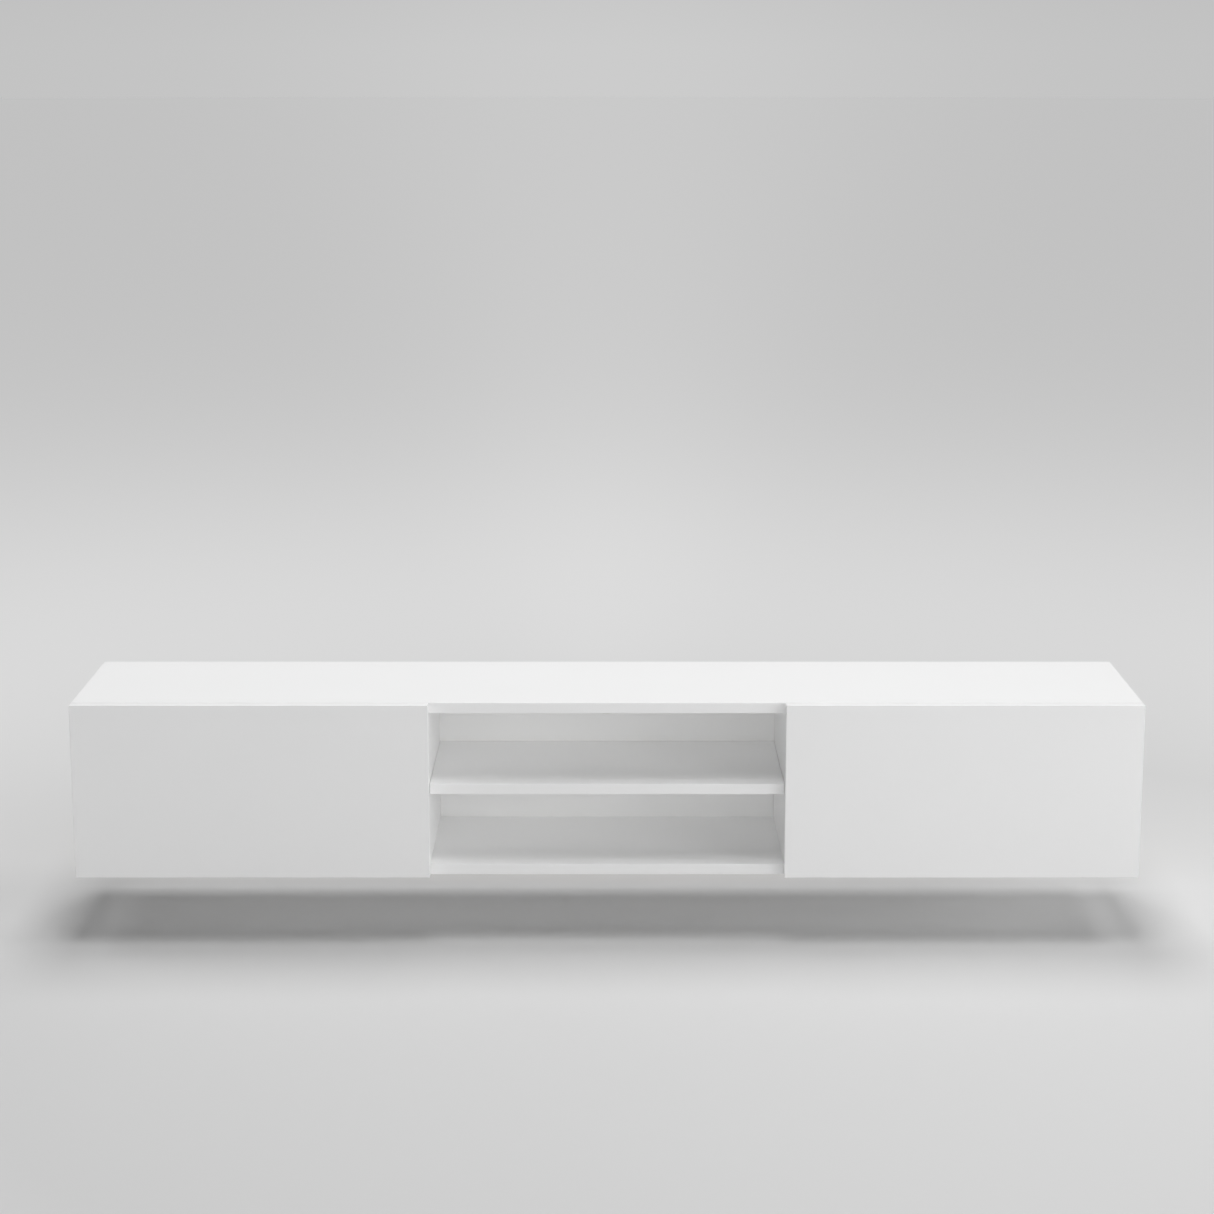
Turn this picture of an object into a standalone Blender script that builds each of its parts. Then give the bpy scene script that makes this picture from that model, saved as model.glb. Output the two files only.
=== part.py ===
"""Wall-hung TV unit: two side cabinets with drop-down flaps and an open centre with one shelf.

Frame: metres, +Z up, +X along the unit, the front faces -Y and the wall is the plane y = 0.
The origin is the middle of the top panel's rear edge, where the unit meets the wall.
"""
import math

import bmesh
import bpy
from mathutils import Matrix, Vector

# Overall sizes
UNIT_LENGTH = 1.800
UNIT_HEIGHT = 0.300
CARCASS_DEPTH = 0.310
CENTRE_WIDTH = 0.600            # clear width between the two partitions

# Boards
BOARD = 0.018                   # carcass boards
FLAP_BOARD = 0.018              # the two fronts
FRONT_GAP = 0.002               # flap to carcass edge, the room that a push latch needs
BACK_BOARD = 0.003
BACK_RECESS = 0.020             # wall to the back boards, the room for the hangers
GROOVE_DEPTH = 0.006
EDGE_RADIUS = 0.0008
TOUCH = 0.0003                  # gap between pieces that rest on each other
SLACK = 0.0005                  # gap at the ends of a board in its groove and beside the shelf

# Hinge axis of a flap, from the flap's front face and from the unit's underside
AXIS_BEHIND_FACE = 0.006
AXIS_ABOVE_BASE = 0.006

# Concealed hinges
HINGE_FROM_FLAP_END = 0.090
CUP_HOLE_RADIUS = 0.0175
CUP_DEPTH = 0.0115
CUP_WALL = 0.001
CUP_EDGE_DISTANCE = 0.005       # flap's lower edge to the cup hole
CUP_FLANGE = (0.052, 0.0012, 0.026)
PLATE_SIZE = (0.050, 0.037, 0.004)
PLATE_FROM_EDGE = 0.014         # carcass front edge to the mounting plate
ARM_WIDTH = 0.014
ARM_HEIGHT = 0.008
ARM_REACH = 0.004               # how far the arm's nose stands in the cup
ARM_TAIL = 0.002                # how far the arm passes the mounting plate

# Flap stay: a parallelogram of arm and link beside the outer end panel
STAY_OFFSET = (0.040, 0.060)    # housing pivot from the hinge axis, rearward and up
STAY_FLAP_PIVOT = (0.010, 0.120)  # flap pivot, behind the inner face and above the hinge axis
STAY_HOUSING = (0.008, 0.066, 0.044)
STAY_STRIP = 0.002              # thickness of the arm, the link and the bracket
STAY_STRIP_RADIUS = 0.007
STAY_PIN_RADIUS = 0.003
STAY_BRACKET_WIDTH = 0.020
STAY_BRACKET_HEIGHT = 0.026
RUNNING_GAP = 0.0003            # round a pin and between moving strips

# Push latch, at the middle of each cabinet under the top panel
LATCH_BODY = (0.014, 0.060, 0.012)
LATCH_SETBACK = 0.004           # carcass front edge to the latch body
PLUNGER_RADIUS = 0.0035
PLUNGER_LENGTH = 0.040
PLUNGER_TRAVEL = 0.003
STRIKE_SIZE = (0.018, 0.001, 0.012)

# Shelf pins
PIN_RADIUS = 0.0025
PIN_IN_WALL = 0.008
PIN_PROUD = 0.009
PIN_COLLAR_RADIUS = 0.004
PIN_FROM_EDGE = 0.045           # from the shelf's front and rear edges

# Cable outlet in the centre back board
OUTLET_RADIUS = 0.030
OUTLET_MARGIN = 0.0035          # underside of the top panel to the grommet
GROMMET_WALL = 0.0025
GROMMET_FLANGE = 0.0045
GROMMET_LIP = 0.0015
GROMMET_TAIL = 0.004

# Wall rails and cabinet hangers, in the recess behind the side cabinets' backs
RAIL_STRIP = 0.002
RAIL_SLOT = 0.004               # joggle of the rail's lip away from its base
RAIL_LIP = 0.014
RAIL_BASE = 0.033
RAIL_END_GAP = 0.006
RAIL_DROP = 0.0175              # underside of the top panel to the rail's upper edge
HANGER_WIDTH = 0.030
HANGER_HEIGHT = 0.056
HANGER_TO_RAIL = 0.0017
HANGER_DROP = 0.004             # underside of the top panel to the hanger
HANGER_SIDE_GAP = 0.0003
HOOK_WIDTH = 0.012
HOOK_STRIP = 0.0025
HOOK_ROOT = 0.016
HOOK_COVER = 0.004              # front wall of the hanger before the hook's root
HOOK_TIP = 0.010
COVER_HOLE_RADIUS = 0.010
COVER_RADIUS = 0.013
COVER_LIP = 0.0015

ROUND_SIDES = 24
SMALL_ROUND_SIDES = 16

# Worked out from the sizes above
TOP_Z = BOARD / 2
BASE_Z = TOP_Z - UNIT_HEIGHT
CEILING_Z = TOP_Z - BOARD       # underside of the top panel
FLOOR_Z = BASE_Z + BOARD        # upper face of the bottom panel
END_OUT = UNIT_LENGTH / 2
END_IN = END_OUT - BOARD
PARTITION_IN = CENTRE_WIDTH / 2
PARTITION_OUT = PARTITION_IN + BOARD
FLAP_LENGTH = END_OUT - PARTITION_IN
CARCASS_FRONT = -CARCASS_DEPTH
FLAP_INNER = CARCASS_FRONT - FRONT_GAP
FLAP_FACE = FLAP_INNER - FLAP_BOARD
AXIS_Y = FLAP_FACE + AXIS_BEHIND_FACE
AXIS_Z = BASE_Z + AXIS_ABOVE_BASE
BACK_REAR = -BACK_RECESS
BACK_FRONT = BACK_REAR - BACK_BOARD
SHELF_MID_Z = (CEILING_Z + FLOOR_Z) / 2
CABINET_MID_X = (PARTITION_OUT + END_IN) / 2
SIDES = (("left", -1), ("right", 1))

FINISHES = {
    # name: (linear colour, roughness, metallic)
    "white_board": ((0.86, 0.86, 0.86), 0.35, 0.0),
    "back_board": ((0.80, 0.80, 0.80), 0.50, 0.0),
    "white_plastic": ((0.80, 0.80, 0.79), 0.45, 0.0),
    "grey_plastic": ((0.30, 0.31, 0.32), 0.50, 0.0),
    "nickel_steel": ((0.62, 0.60, 0.57), 0.28, 1.0),
    "zinc_steel": ((0.55, 0.57, 0.60), 0.40, 1.0),
}


def finish(name, kind):
    """The piece's own material."""
    colour, roughness, metallic = FINISHES[kind]
    material = bpy.data.materials.new(name + "_finish")
    material.use_nodes = True
    shader = material.node_tree.nodes["Principled BSDF"]
    shader.inputs["Base Color"].default_value = (*colour, 1.0)
    shader.inputs["Roughness"].default_value = roughness
    shader.inputs["Metallic"].default_value = metallic
    return material


def mesh_from(shape, name):
    """Turn a bmesh into a mesh with its faces pointing out."""
    bmesh.ops.recalc_face_normals(shape, faces=shape.faces)
    mesh = bpy.data.meshes.new(name)
    shape.to_mesh(mesh)
    shape.free()
    return mesh


def place(name, mesh, location, parent=None, kind=None):
    """Add an object at a world place, kept when it hangs on a parent empty."""
    piece = bpy.data.objects.new(name, mesh)
    bpy.context.scene.collection.objects.link(piece)
    piece.parent = parent
    origin = parent.location if parent else Vector()
    piece.location = Vector(location) - origin
    if kind:
        piece.data.materials.append(finish(name, kind))
    return piece


def pivot(name, location):
    """An empty on a joint's axis, which carries the pieces that move with the joint."""
    empty = bpy.data.objects.new(name, None)
    empty.location = location
    bpy.context.scene.collection.objects.link(empty)
    return empty


def box_mesh(name, size):
    """A block centred on its origin."""
    shape = bmesh.new()
    bmesh.ops.create_cube(shape, size=1.0, matrix=Matrix.Diagonal((*size, 1.0)))
    return mesh_from(shape, name)


def rod_mesh(name, radius, length, axis, sides=ROUND_SIDES):
    """A round bar centred on its origin, along X or Y."""
    turn = Matrix.Rotation(math.pi / 2, 4, "Y" if axis == "X" else "X")
    shape = bmesh.new()
    bmesh.ops.create_cone(
        shape, cap_ends=True, segments=sides, radius1=radius, radius2=radius, depth=length, matrix=turn)
    mesh = mesh_from(shape, name)
    mesh.shade_smooth()
    mesh.set_sharp_from_angle(angle=math.radians(40))
    return mesh


def extruded_mesh(name, outline, low, high, axis):
    """A prism with the outline given in the plane across X or Z."""
    def corner(first, second, along):
        return (along, first, second) if axis == "X" else (first, second, along)
    shape = bmesh.new()
    ring = [shape.verts.new(corner(first, second, low)) for first, second in outline]
    face = shape.faces.new(ring)
    grown = bmesh.ops.extrude_face_region(shape, geom=[face])
    raised = [item for item in grown["geom"] if isinstance(item, bmesh.types.BMVert)]
    step = Vector(corner(0, 0, high)) - Vector(corner(0, 0, low))
    bmesh.ops.translate(shape, vec=step, verts=raised)
    return mesh_from(shape, name)


def turned_mesh(name, profile, axis, sides=ROUND_SIDES):
    """A closed profile of (radius, along) points turned about the axis X or Y."""
    direction = Vector((1, 0, 0)) if axis == "X" else Vector((0, 1, 0))
    shape = bmesh.new()
    points = []
    for radius, along in profile:
        points.append(shape.verts.new(direction * along + Vector((0, 0, radius))))
    edges = [shape.edges.new(pair) for pair in zip(points, points[1:] + points[:1])]
    bmesh.ops.spin(
        shape, geom=points + edges, cent=(0, 0, 0), axis=direction, angle=math.tau, steps=sides)
    bmesh.ops.remove_doubles(shape, verts=shape.verts, dist=1e-5)
    on_axis = [edge for edge in shape.edges if not edge.link_faces]
    bmesh.ops.delete(shape, geom=on_axis, context="EDGES")
    mesh = mesh_from(shape, name)
    mesh.shade_smooth()
    mesh.set_sharp_from_angle(angle=math.radians(40))
    return mesh


def soften(piece, width=EDGE_RADIUS, segments=2):
    """Round the edges of a board or a casing."""
    bevel = piece.modifiers.new("edges", "BEVEL")
    bevel.width = width
    bevel.segments = segments
    bevel.limit_method = "ANGLE"
    bevel.angle_limit = math.radians(40)
    return piece


def board(name, low, high, kind="white_board", parent=None):
    """A board with softened edges between two corners."""
    low = Vector(low)
    high = Vector(high)
    piece = place(name, box_mesh(name, high - low), (low + high) / 2, parent, kind)
    return soften(piece, min(EDGE_RADIUS, min(high - low) / 5))


def helper(target, label, mesh, location):
    """A hidden shape that cuts or adds to a piece, and stays with it."""
    shape = place(f"{target.name}_{label}", mesh, location, target.parent)
    shape.hide_render = True
    shape.display_type = "WIRE"
    return shape


def combine(target, operation, label, mesh, location):
    """Cut the piece with a helper shape, or join the shape to it."""
    change = target.modifiers.new(label, "BOOLEAN")
    change.operation = operation
    change.solver = "EXACT"
    change.object = helper(target, label, mesh, location)


def cut(target, label, mesh, location):
    combine(target, "DIFFERENCE", label, mesh, location)


def join(target, label, mesh, location):
    combine(target, "UNION", label, mesh, location)


def cut_box(target, label, low, high):
    low = Vector(low)
    high = Vector(high)
    cut(target, label, box_mesh(label, high - low), (low + high) / 2)


def groove_faces():
    """Rear and front of the groove that a back board stands in."""
    return BACK_REAR + TOUCH, BACK_FRONT - TOUCH


def bay_walls():
    """The three bays' inner walls, from left to right."""
    return (("left", -END_IN, -PARTITION_OUT),
            ("centre", -PARTITION_IN, PARTITION_IN),
            ("right", PARTITION_OUT, END_IN))


def long_panel(name, low_z, high_z, inner_z, outward):
    """The top or bottom panel, over the whole length, with a stopped groove over each bay."""
    panel = board(name, (-END_OUT, CARCASS_FRONT, low_z), (END_OUT, 0, high_z))
    rear, front = groove_faces()
    for bay, wall_a, wall_b in bay_walls():
        ends = sorted((inner_z - outward * GROOVE_DEPTH, inner_z + outward * GROOVE_DEPTH))
        cut_box(panel, f"{bay}_groove",
                (wall_a - GROOVE_DEPTH, front, ends[0]), (wall_b + GROOVE_DEPTH, rear, ends[1]))
    return panel


def upright(name, face_a, face_b, grooved):
    """A vertical board between the long panels, grooved on the named faces."""
    low_x, high_x = sorted((face_a, face_b))
    panel = board(name, (low_x, CARCASS_FRONT, FLOOR_Z + TOUCH), (high_x, 0, CEILING_Z - TOUCH))
    rear, front = groove_faces()
    for face in grooved:
        inward = 1 if face == low_x else -1
        ends = sorted((face - inward * GROOVE_DEPTH, face + inward * GROOVE_DEPTH))
        label = "low_groove" if face == low_x else "high_groove"
        cut_box(panel, label, (ends[0], front, FLOOR_Z - BOARD / 2), (ends[1], rear, CEILING_Z + BOARD / 2))
    return panel


def back_panel(bay, wall_a, wall_b):
    """A thin board that stands in the grooves all round its bay."""
    reach = GROOVE_DEPTH - SLACK
    return board(f"{bay}_back_panel", (wall_a - reach, BACK_FRONT, FLOOR_Z - reach),
                 (wall_b + reach, BACK_REAR, CEILING_Z + reach), "back_board")


def carcass():
    """Panels, uprights and backs. Returns those that other pieces are let into."""
    long_panel("top_panel", CEILING_Z, TOP_Z, CEILING_Z, 1)
    long_panel("bottom_panel", BASE_Z, FLOOR_Z, FLOOR_Z, -1)
    partitions = {}
    for side, sign in SIDES:
        upright(f"{side}_end_panel", sign * END_OUT, sign * END_IN, (sign * END_IN,))
        partitions[side] = upright(
            f"{side}_partition", sign * PARTITION_IN, sign * PARTITION_OUT,
            (sign * PARTITION_IN, sign * PARTITION_OUT))
    backs = {}
    for bay, wall_a, wall_b in bay_walls():
        backs[bay] = back_panel(bay, wall_a, wall_b)
    return partitions, backs


def shelf_and_pins(partitions):
    """The centre shelf on four pins let into the partitions."""
    rear = BACK_FRONT - SLACK
    board("centre_shelf", (-PARTITION_IN + SLACK, CARCASS_FRONT, SHELF_MID_Z - BOARD / 2),
          (PARTITION_IN - SLACK, rear, SHELF_MID_Z + BOARD / 2))
    pin_z = SHELF_MID_Z - BOARD / 2 - TOUCH - PIN_COLLAR_RADIUS
    hole_depth = PIN_IN_WALL + TOUCH
    number = 0
    for side, sign in SIDES:
        for y in (CARCASS_FRONT + PIN_FROM_EDGE, rear - PIN_FROM_EDGE):
            number += 1
            wall = sign * PARTITION_IN
            cut(partitions[side], f"pin_hole_{number}",
                rod_mesh("pin_hole", PIN_RADIUS + TOUCH, 2 * hole_depth, "X", SMALL_ROUND_SIDES),
                (wall, y, pin_z))
            profile = [(0, sign * PIN_IN_WALL), (PIN_RADIUS, sign * PIN_IN_WALL),
                       (PIN_RADIUS, -sign * TOUCH), (PIN_COLLAR_RADIUS, -sign * TOUCH),
                       (PIN_COLLAR_RADIUS, -sign * PIN_PROUD), (0, -sign * PIN_PROUD)]
            place(f"shelf_pin_{number}", turned_mesh("shelf_pin", profile, "X", SMALL_ROUND_SIDES),
                  (wall, y, pin_z), kind="nickel_steel")


def cable_outlet(back):
    """The round outlet in the centre back board and the plastic ring in it."""
    place_z = CEILING_Z - OUTLET_MARGIN - GROMMET_FLANGE - OUTLET_RADIUS
    cut(back, "outlet", rod_mesh("outlet", OUTLET_RADIUS, 4 * BACK_BOARD, "Y", 2 * ROUND_SIDES),
        (0, (BACK_FRONT + BACK_REAR) / 2, place_z))
    tube = OUTLET_RADIUS - TOUCH
    bore = tube - GROMMET_WALL
    lip = OUTLET_RADIUS + GROMMET_FLANGE
    tail = BACK_BOARD + TOUCH + GROMMET_TAIL
    profile = [(bore, -GROMMET_LIP), (lip, -GROMMET_LIP), (lip, 0), (tube, 0), (tube, tail), (bore, tail)]
    place("cable_grommet", turned_mesh("cable_grommet", profile, "Y", 2 * ROUND_SIDES),
          (0, BACK_FRONT - TOUCH, place_z), kind="white_plastic")


def wall_rail(side, sign):
    """A steel strip screwed to the wall, with its upper edge joggled out to a lip."""
    top = CEILING_Z - RAIL_DROP
    fold = top - RAIL_LIP
    base = fold - RAIL_BASE
    lip_rear = -(RAIL_STRIP + RAIL_SLOT)
    lip_front = lip_rear - RAIL_STRIP
    outline = [(0, base), (0, fold), (lip_rear, fold), (lip_rear, top), (lip_front, top),
               (lip_front, fold - RAIL_STRIP), (-RAIL_STRIP, fold - RAIL_STRIP), (-RAIL_STRIP, base)]
    low, high = sorted((sign * (PARTITION_OUT + RAIL_END_GAP), sign * (END_IN - RAIL_END_GAP)))
    place(f"{side}_wall_rail", extruded_mesh("wall_rail", outline, low, high, "X"), (0, 0, 0),
          kind="zinc_steel")


def hanger(number, x, back):
    """A hanger screwed to an upright: its body, the hook over the rail and the cover in front."""
    top = CEILING_Z - HANGER_DROP
    front = BACK_REAR + TOUCH
    rear = -(RAIL_STRIP + RAIL_SLOT + RAIL_STRIP + HANGER_TO_RAIL)
    body = board(f"hanger_{number}_body", (x - HANGER_WIDTH / 2, front, top - HANGER_HEIGHT),
                 (x + HANGER_WIDTH / 2, rear, top), "zinc_steel")
    rail_top = CEILING_Z - RAIL_DROP
    tongue_low = rail_top + TOUCH
    tongue_high = tongue_low + HOOK_STRIP
    root_front = front + HOOK_COVER
    root_low = tongue_high - HOOK_ROOT
    half = HOOK_WIDTH / 2
    cut_box(body, "hook_slot",
            (x - half - RUNNING_GAP, root_front - RUNNING_GAP, root_low - RUNNING_GAP),
            (x + half + RUNNING_GAP, 0, tongue_high + RUNNING_GAP))
    tip_front = -(RAIL_STRIP + RAIL_SLOT) + TOUCH
    tip_rear = tip_front + HOOK_STRIP
    outline = [(root_front, root_low), (root_front + HOOK_STRIP, root_low),
               (root_front + HOOK_STRIP, tongue_low), (tip_front, tongue_low),
               (tip_front, tongue_low - HOOK_TIP), (tip_rear, tongue_low - HOOK_TIP),
               (tip_rear, tongue_high), (root_front, tongue_high)]
    place(f"hanger_{number}_hook", extruded_mesh("hook", outline, -half, half, "X"), (x, 0, 0),
          kind="zinc_steel")
    cover_z = top - HANGER_HEIGHT / 2
    cut(back, f"cover_hole_{number}",
        rod_mesh("cover_hole", COVER_HOLE_RADIUS, 4 * BACK_BOARD, "Y"),
        (x, (BACK_FRONT + BACK_REAR) / 2, cover_z))
    stub = COVER_HOLE_RADIUS - TOUCH
    profile = [(0, -COVER_LIP), (COVER_RADIUS, -COVER_LIP), (COVER_RADIUS, 0), (stub, 0),
               (stub, BACK_BOARD), (0, BACK_BOARD)]
    place(f"hanger_{number}_cover", turned_mesh("cover", profile, "Y"), (x, BACK_FRONT - TOUCH, cover_z),
          kind="white_plastic")


def hanging_set(backs):
    """Two rails and four hangers, one beside each upright that bounds a side cabinet."""
    inset = HANGER_WIDTH / 2 + HANGER_SIDE_GAP
    number = 0
    for side, sign in SIDES:
        wall_rail(side, sign)
        for wall, inward in ((END_IN, -1), (PARTITION_OUT, 1)):
            number += 1
            hanger(number, sign * (wall + inward * inset), backs[side])


def hinge(side, number, x, flap, hinge_pivot):
    """A concealed hinge: cup in the flap, mounting plate on the bottom panel, arm between them."""
    name = f"{side}_hinge_{number}"
    cup_z = BASE_Z + CUP_EDGE_DISTANCE + CUP_HOLE_RADIUS
    cup_radius = CUP_HOLE_RADIUS - TOUCH
    cut(flap, f"cup_hole_{number}",
        rod_mesh("cup_hole", CUP_HOLE_RADIUS, 2 * (CUP_DEPTH + TOUCH), "Y", 2 * ROUND_SIDES),
        (x, FLAP_INNER, cup_z))
    flange_rear = FLAP_INNER + TOUCH + CUP_FLANGE[1]
    flange_z = cup_z + (CUP_FLANGE[2] / 2 - cup_radius)
    flange = place(f"{name}_cup", box_mesh("cup_flange", CUP_FLANGE),
                   (x, flange_rear - CUP_FLANGE[1] / 2, flange_z), hinge_pivot, "nickel_steel")
    length = flange_rear - (FLAP_INNER - CUP_DEPTH)
    join(flange, "bowl", rod_mesh("bowl", cup_radius, length, "Y"), (x, flange_rear - length / 2, cup_z))
    cut(flange, "hollow", rod_mesh("hollow", cup_radius - CUP_WALL, 2 * (length - CUP_WALL), "Y"),
        (x, flange_rear, cup_z))
    plate_front = CARCASS_FRONT + PLATE_FROM_EDGE
    plate_low = FLOOR_Z + TOUCH
    plate_high = plate_low + PLATE_SIZE[2]
    spine = PLATE_SIZE[0] / 3
    plate = board(f"{name}_plate", (x - spine / 2, plate_front, plate_low),
                  (x + spine / 2, plate_front + PLATE_SIZE[1], plate_high), "nickel_steel")
    wings = (PLATE_SIZE[0], PLATE_SIZE[1] / 3, PLATE_SIZE[2] * 0.6)
    join(plate, "wings", box_mesh("wings", wings),
         (x, plate_front + PLATE_SIZE[1] / 2, plate_low + wings[2] / 2))
    arm_low = plate_high + TOUCH
    arm_high = arm_low + ARM_HEIGHT
    nose = FLAP_INNER - ARM_REACH
    tail = plate_front + PLATE_SIZE[1] + ARM_TAIL
    slope = ARM_HEIGHT / 2
    outline = [(nose, arm_low), (tail, arm_low), (tail, arm_low + slope),
               (plate_front + PLATE_SIZE[1] / 2, arm_high), (nose, arm_high)]
    arm = place(f"{name}_arm", extruded_mesh("arm", outline, -ARM_WIDTH / 2, ARM_WIDTH / 2, "X"),
                (x, 0, 0), kind="nickel_steel")
    soften(arm)


def strip_mesh(name, reach):
    """A flat strip across X with round ends, from its origin to reach, both (y, z)."""
    angle = math.atan2(reach[1], reach[0])
    outline = []
    for centre, start in (((0, 0), angle + math.pi / 2), (reach, angle - math.pi / 2)):
        for step in range(SMALL_ROUND_SIDES // 2 + 1):
            turn = start + step * math.tau / SMALL_ROUND_SIDES
            outline.append((centre[0] + STAY_STRIP_RADIUS * math.cos(turn),
                            centre[1] + STAY_STRIP_RADIUS * math.sin(turn)))
    return extruded_mesh(name, outline, -STAY_STRIP / 2, STAY_STRIP / 2, "X")


def stay(side, sign, hinge_pivot):
    """The flap stay beside the end panel: housing, arm, link and the bracket on the flap."""
    def layer(from_wall):
        return sign * (END_IN - from_wall)
    bore = STAY_PIN_RADIUS + RUNNING_GAP
    anchor = Vector((0, AXIS_Y + STAY_OFFSET[0], AXIS_Z + STAY_OFFSET[1]))
    flap_pin = Vector((0, FLAP_INNER + STAY_FLAP_PIVOT[0], AXIS_Z + STAY_FLAP_PIVOT[1]))
    knee = flap_pin + Vector((0, *STAY_OFFSET))
    strip_step = STAY_STRIP + RUNNING_GAP
    arm_mid = TOUCH + STAY_HOUSING[0] + RUNNING_GAP + STAY_STRIP / 2
    link_mid = arm_mid + strip_step
    ear_mid = link_mid + strip_step

    def sideways(from_wall):
        return Vector((layer(from_wall), 0, 0))

    def round_bar(radius, length):
        return rod_mesh("pin", radius, length, "X", SMALL_ROUND_SIDES)

    housing_mid = anchor + Vector((0, STAY_HOUSING[1] / 4, 0)) + sideways(TOUCH + STAY_HOUSING[0] / 2)
    housing = place(f"{side}_stay_housing", box_mesh("stay_housing", STAY_HOUSING), housing_mid,
                    kind="grey_plastic")
    soften(housing, 0.0015)
    boss_end = arm_mid + STAY_STRIP / 2
    boss_start = TOUCH + STAY_HOUSING[0] / 2
    join(housing, "boss", round_bar(STAY_PIN_RADIUS, boss_end - boss_start),
         anchor + sideways((boss_start + boss_end) / 2))

    arm_pivot = pivot(f"{side}_stay_arm_pivot", anchor + sideways(arm_mid))
    arm = place(f"{side}_stay_arm", strip_mesh("stay_arm", tuple((knee - anchor).yz)),
                anchor + sideways(arm_mid), arm_pivot, "nickel_steel")
    cut(arm, "anchor_hole", round_bar(bore, 4 * STAY_STRIP), anchor + sideways(arm_mid))
    rivet_end = link_mid + STAY_STRIP / 2 + RUNNING_GAP
    join(arm, "rivet", round_bar(STAY_PIN_RADIUS, rivet_end - arm_mid),
         knee + sideways((arm_mid + rivet_end) / 2))

    link_pivot = pivot(f"{side}_stay_link_pivot", knee + sideways(link_mid))
    link = place(f"{side}_stay_link", strip_mesh("stay_link", tuple((flap_pin - knee).yz)),
                 knee + sideways(link_mid), link_pivot, "nickel_steel")
    for label, centre in (("knee_hole", knee), ("flap_hole", flap_pin)):
        cut(link, label, round_bar(bore, 4 * STAY_STRIP), centre + sideways(link_mid))

    ear_wall = ear_mid - STAY_STRIP / 2
    ear_far = ear_mid + STAY_STRIP / 2
    foot_far = ear_wall + STAY_BRACKET_WIDTH
    base = FLAP_INNER + TOUCH
    ear_rear = flap_pin.y + STAY_STRIP_RADIUS
    outline = [(layer(ear_wall), base), (layer(foot_far), base), (layer(foot_far), base + STAY_STRIP),
               (layer(ear_far), base + STAY_STRIP), (layer(ear_far), ear_rear), (layer(ear_wall), ear_rear)]
    half = STAY_BRACKET_HEIGHT / 2
    bracket = place(f"{side}_stay_bracket", extruded_mesh("bracket", outline, -half, half, "Z"),
                    (0, 0, flap_pin.z), hinge_pivot, "nickel_steel")
    pin_end = link_mid - STAY_STRIP / 2
    join(bracket, "pin", round_bar(STAY_PIN_RADIUS, ear_mid - pin_end),
         flap_pin + sideways((pin_end + ear_mid) / 2))


def latch(side, x, hinge_pivot):
    """The push latch under the top panel and the strike plate on the flap."""
    width, depth, height = LATCH_BODY
    front = CARCASS_FRONT + LATCH_SETBACK
    high = CEILING_Z - TOUCH
    body = board(f"{side}_latch_body", (x - width / 2, front, high - height),
                 (x + width / 2, front + depth, high), "grey_plastic")
    tip = FLAP_INNER + TOUCH + STRIKE_SIZE[1] + TOUCH
    plunger_z = high - height / 2
    plunger_mid = tip + PLUNGER_LENGTH / 2
    bore_rear = tip + PLUNGER_LENGTH + PLUNGER_TRAVEL + SLACK
    bore_front = front - height
    cut(body, "bore", rod_mesh("bore", PLUNGER_RADIUS + RUNNING_GAP, bore_rear - bore_front, "Y"),
        (x, (bore_rear + bore_front) / 2, plunger_z))
    plunger_pivot = pivot(f"{side}_latch_plunger_slide", (x, plunger_mid, plunger_z))
    plunger = place(f"{side}_latch_plunger", rod_mesh("plunger", PLUNGER_RADIUS, PLUNGER_LENGTH, "Y"),
                    (x, plunger_mid, plunger_z), plunger_pivot, "white_plastic")
    soften(plunger, PLUNGER_RADIUS / 5)
    strike_rear = FLAP_INNER + TOUCH + STRIKE_SIZE[1]
    place(f"{side}_strike_plate", box_mesh("strike_plate", STRIKE_SIZE),
          (x, strike_rear - STRIKE_SIZE[1] / 2, plunger_z), hinge_pivot, "zinc_steel")


def flap_set(side, sign):
    """A flap with its hinges, stay and latch."""
    hinge_pivot = pivot(f"{side}_flap_pivot", (sign * CABINET_MID_X, AXIS_Y, AXIS_Z))
    low_x, high_x = sorted((sign * PARTITION_IN, sign * (PARTITION_IN + FLAP_LENGTH)))
    flap = board(f"{side}_flap", (low_x, FLAP_FACE, BASE_Z), (high_x, FLAP_INNER, TOP_Z),
                 parent=hinge_pivot)
    for number, x in enumerate((low_x + HINGE_FROM_FLAP_END, high_x - HINGE_FROM_FLAP_END), 1):
        hinge(side, number, x, flap, hinge_pivot)
    stay(side, sign, hinge_pivot)
    latch(side, sign * CABINET_MID_X, hinge_pivot)


for old in list(bpy.data.objects):
    bpy.data.objects.remove(old, do_unlink=True)

partition_boards, back_boards = carcass()
shelf_and_pins(partition_boards)
cable_outlet(back_boards["centre"])
hanging_set(back_boards)
for side_name, side_sign in SIDES:
    flap_set(side_name, side_sign)
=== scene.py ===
"""Looks of a wall-hung TV unit in white melamine board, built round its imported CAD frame."""
import math

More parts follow.
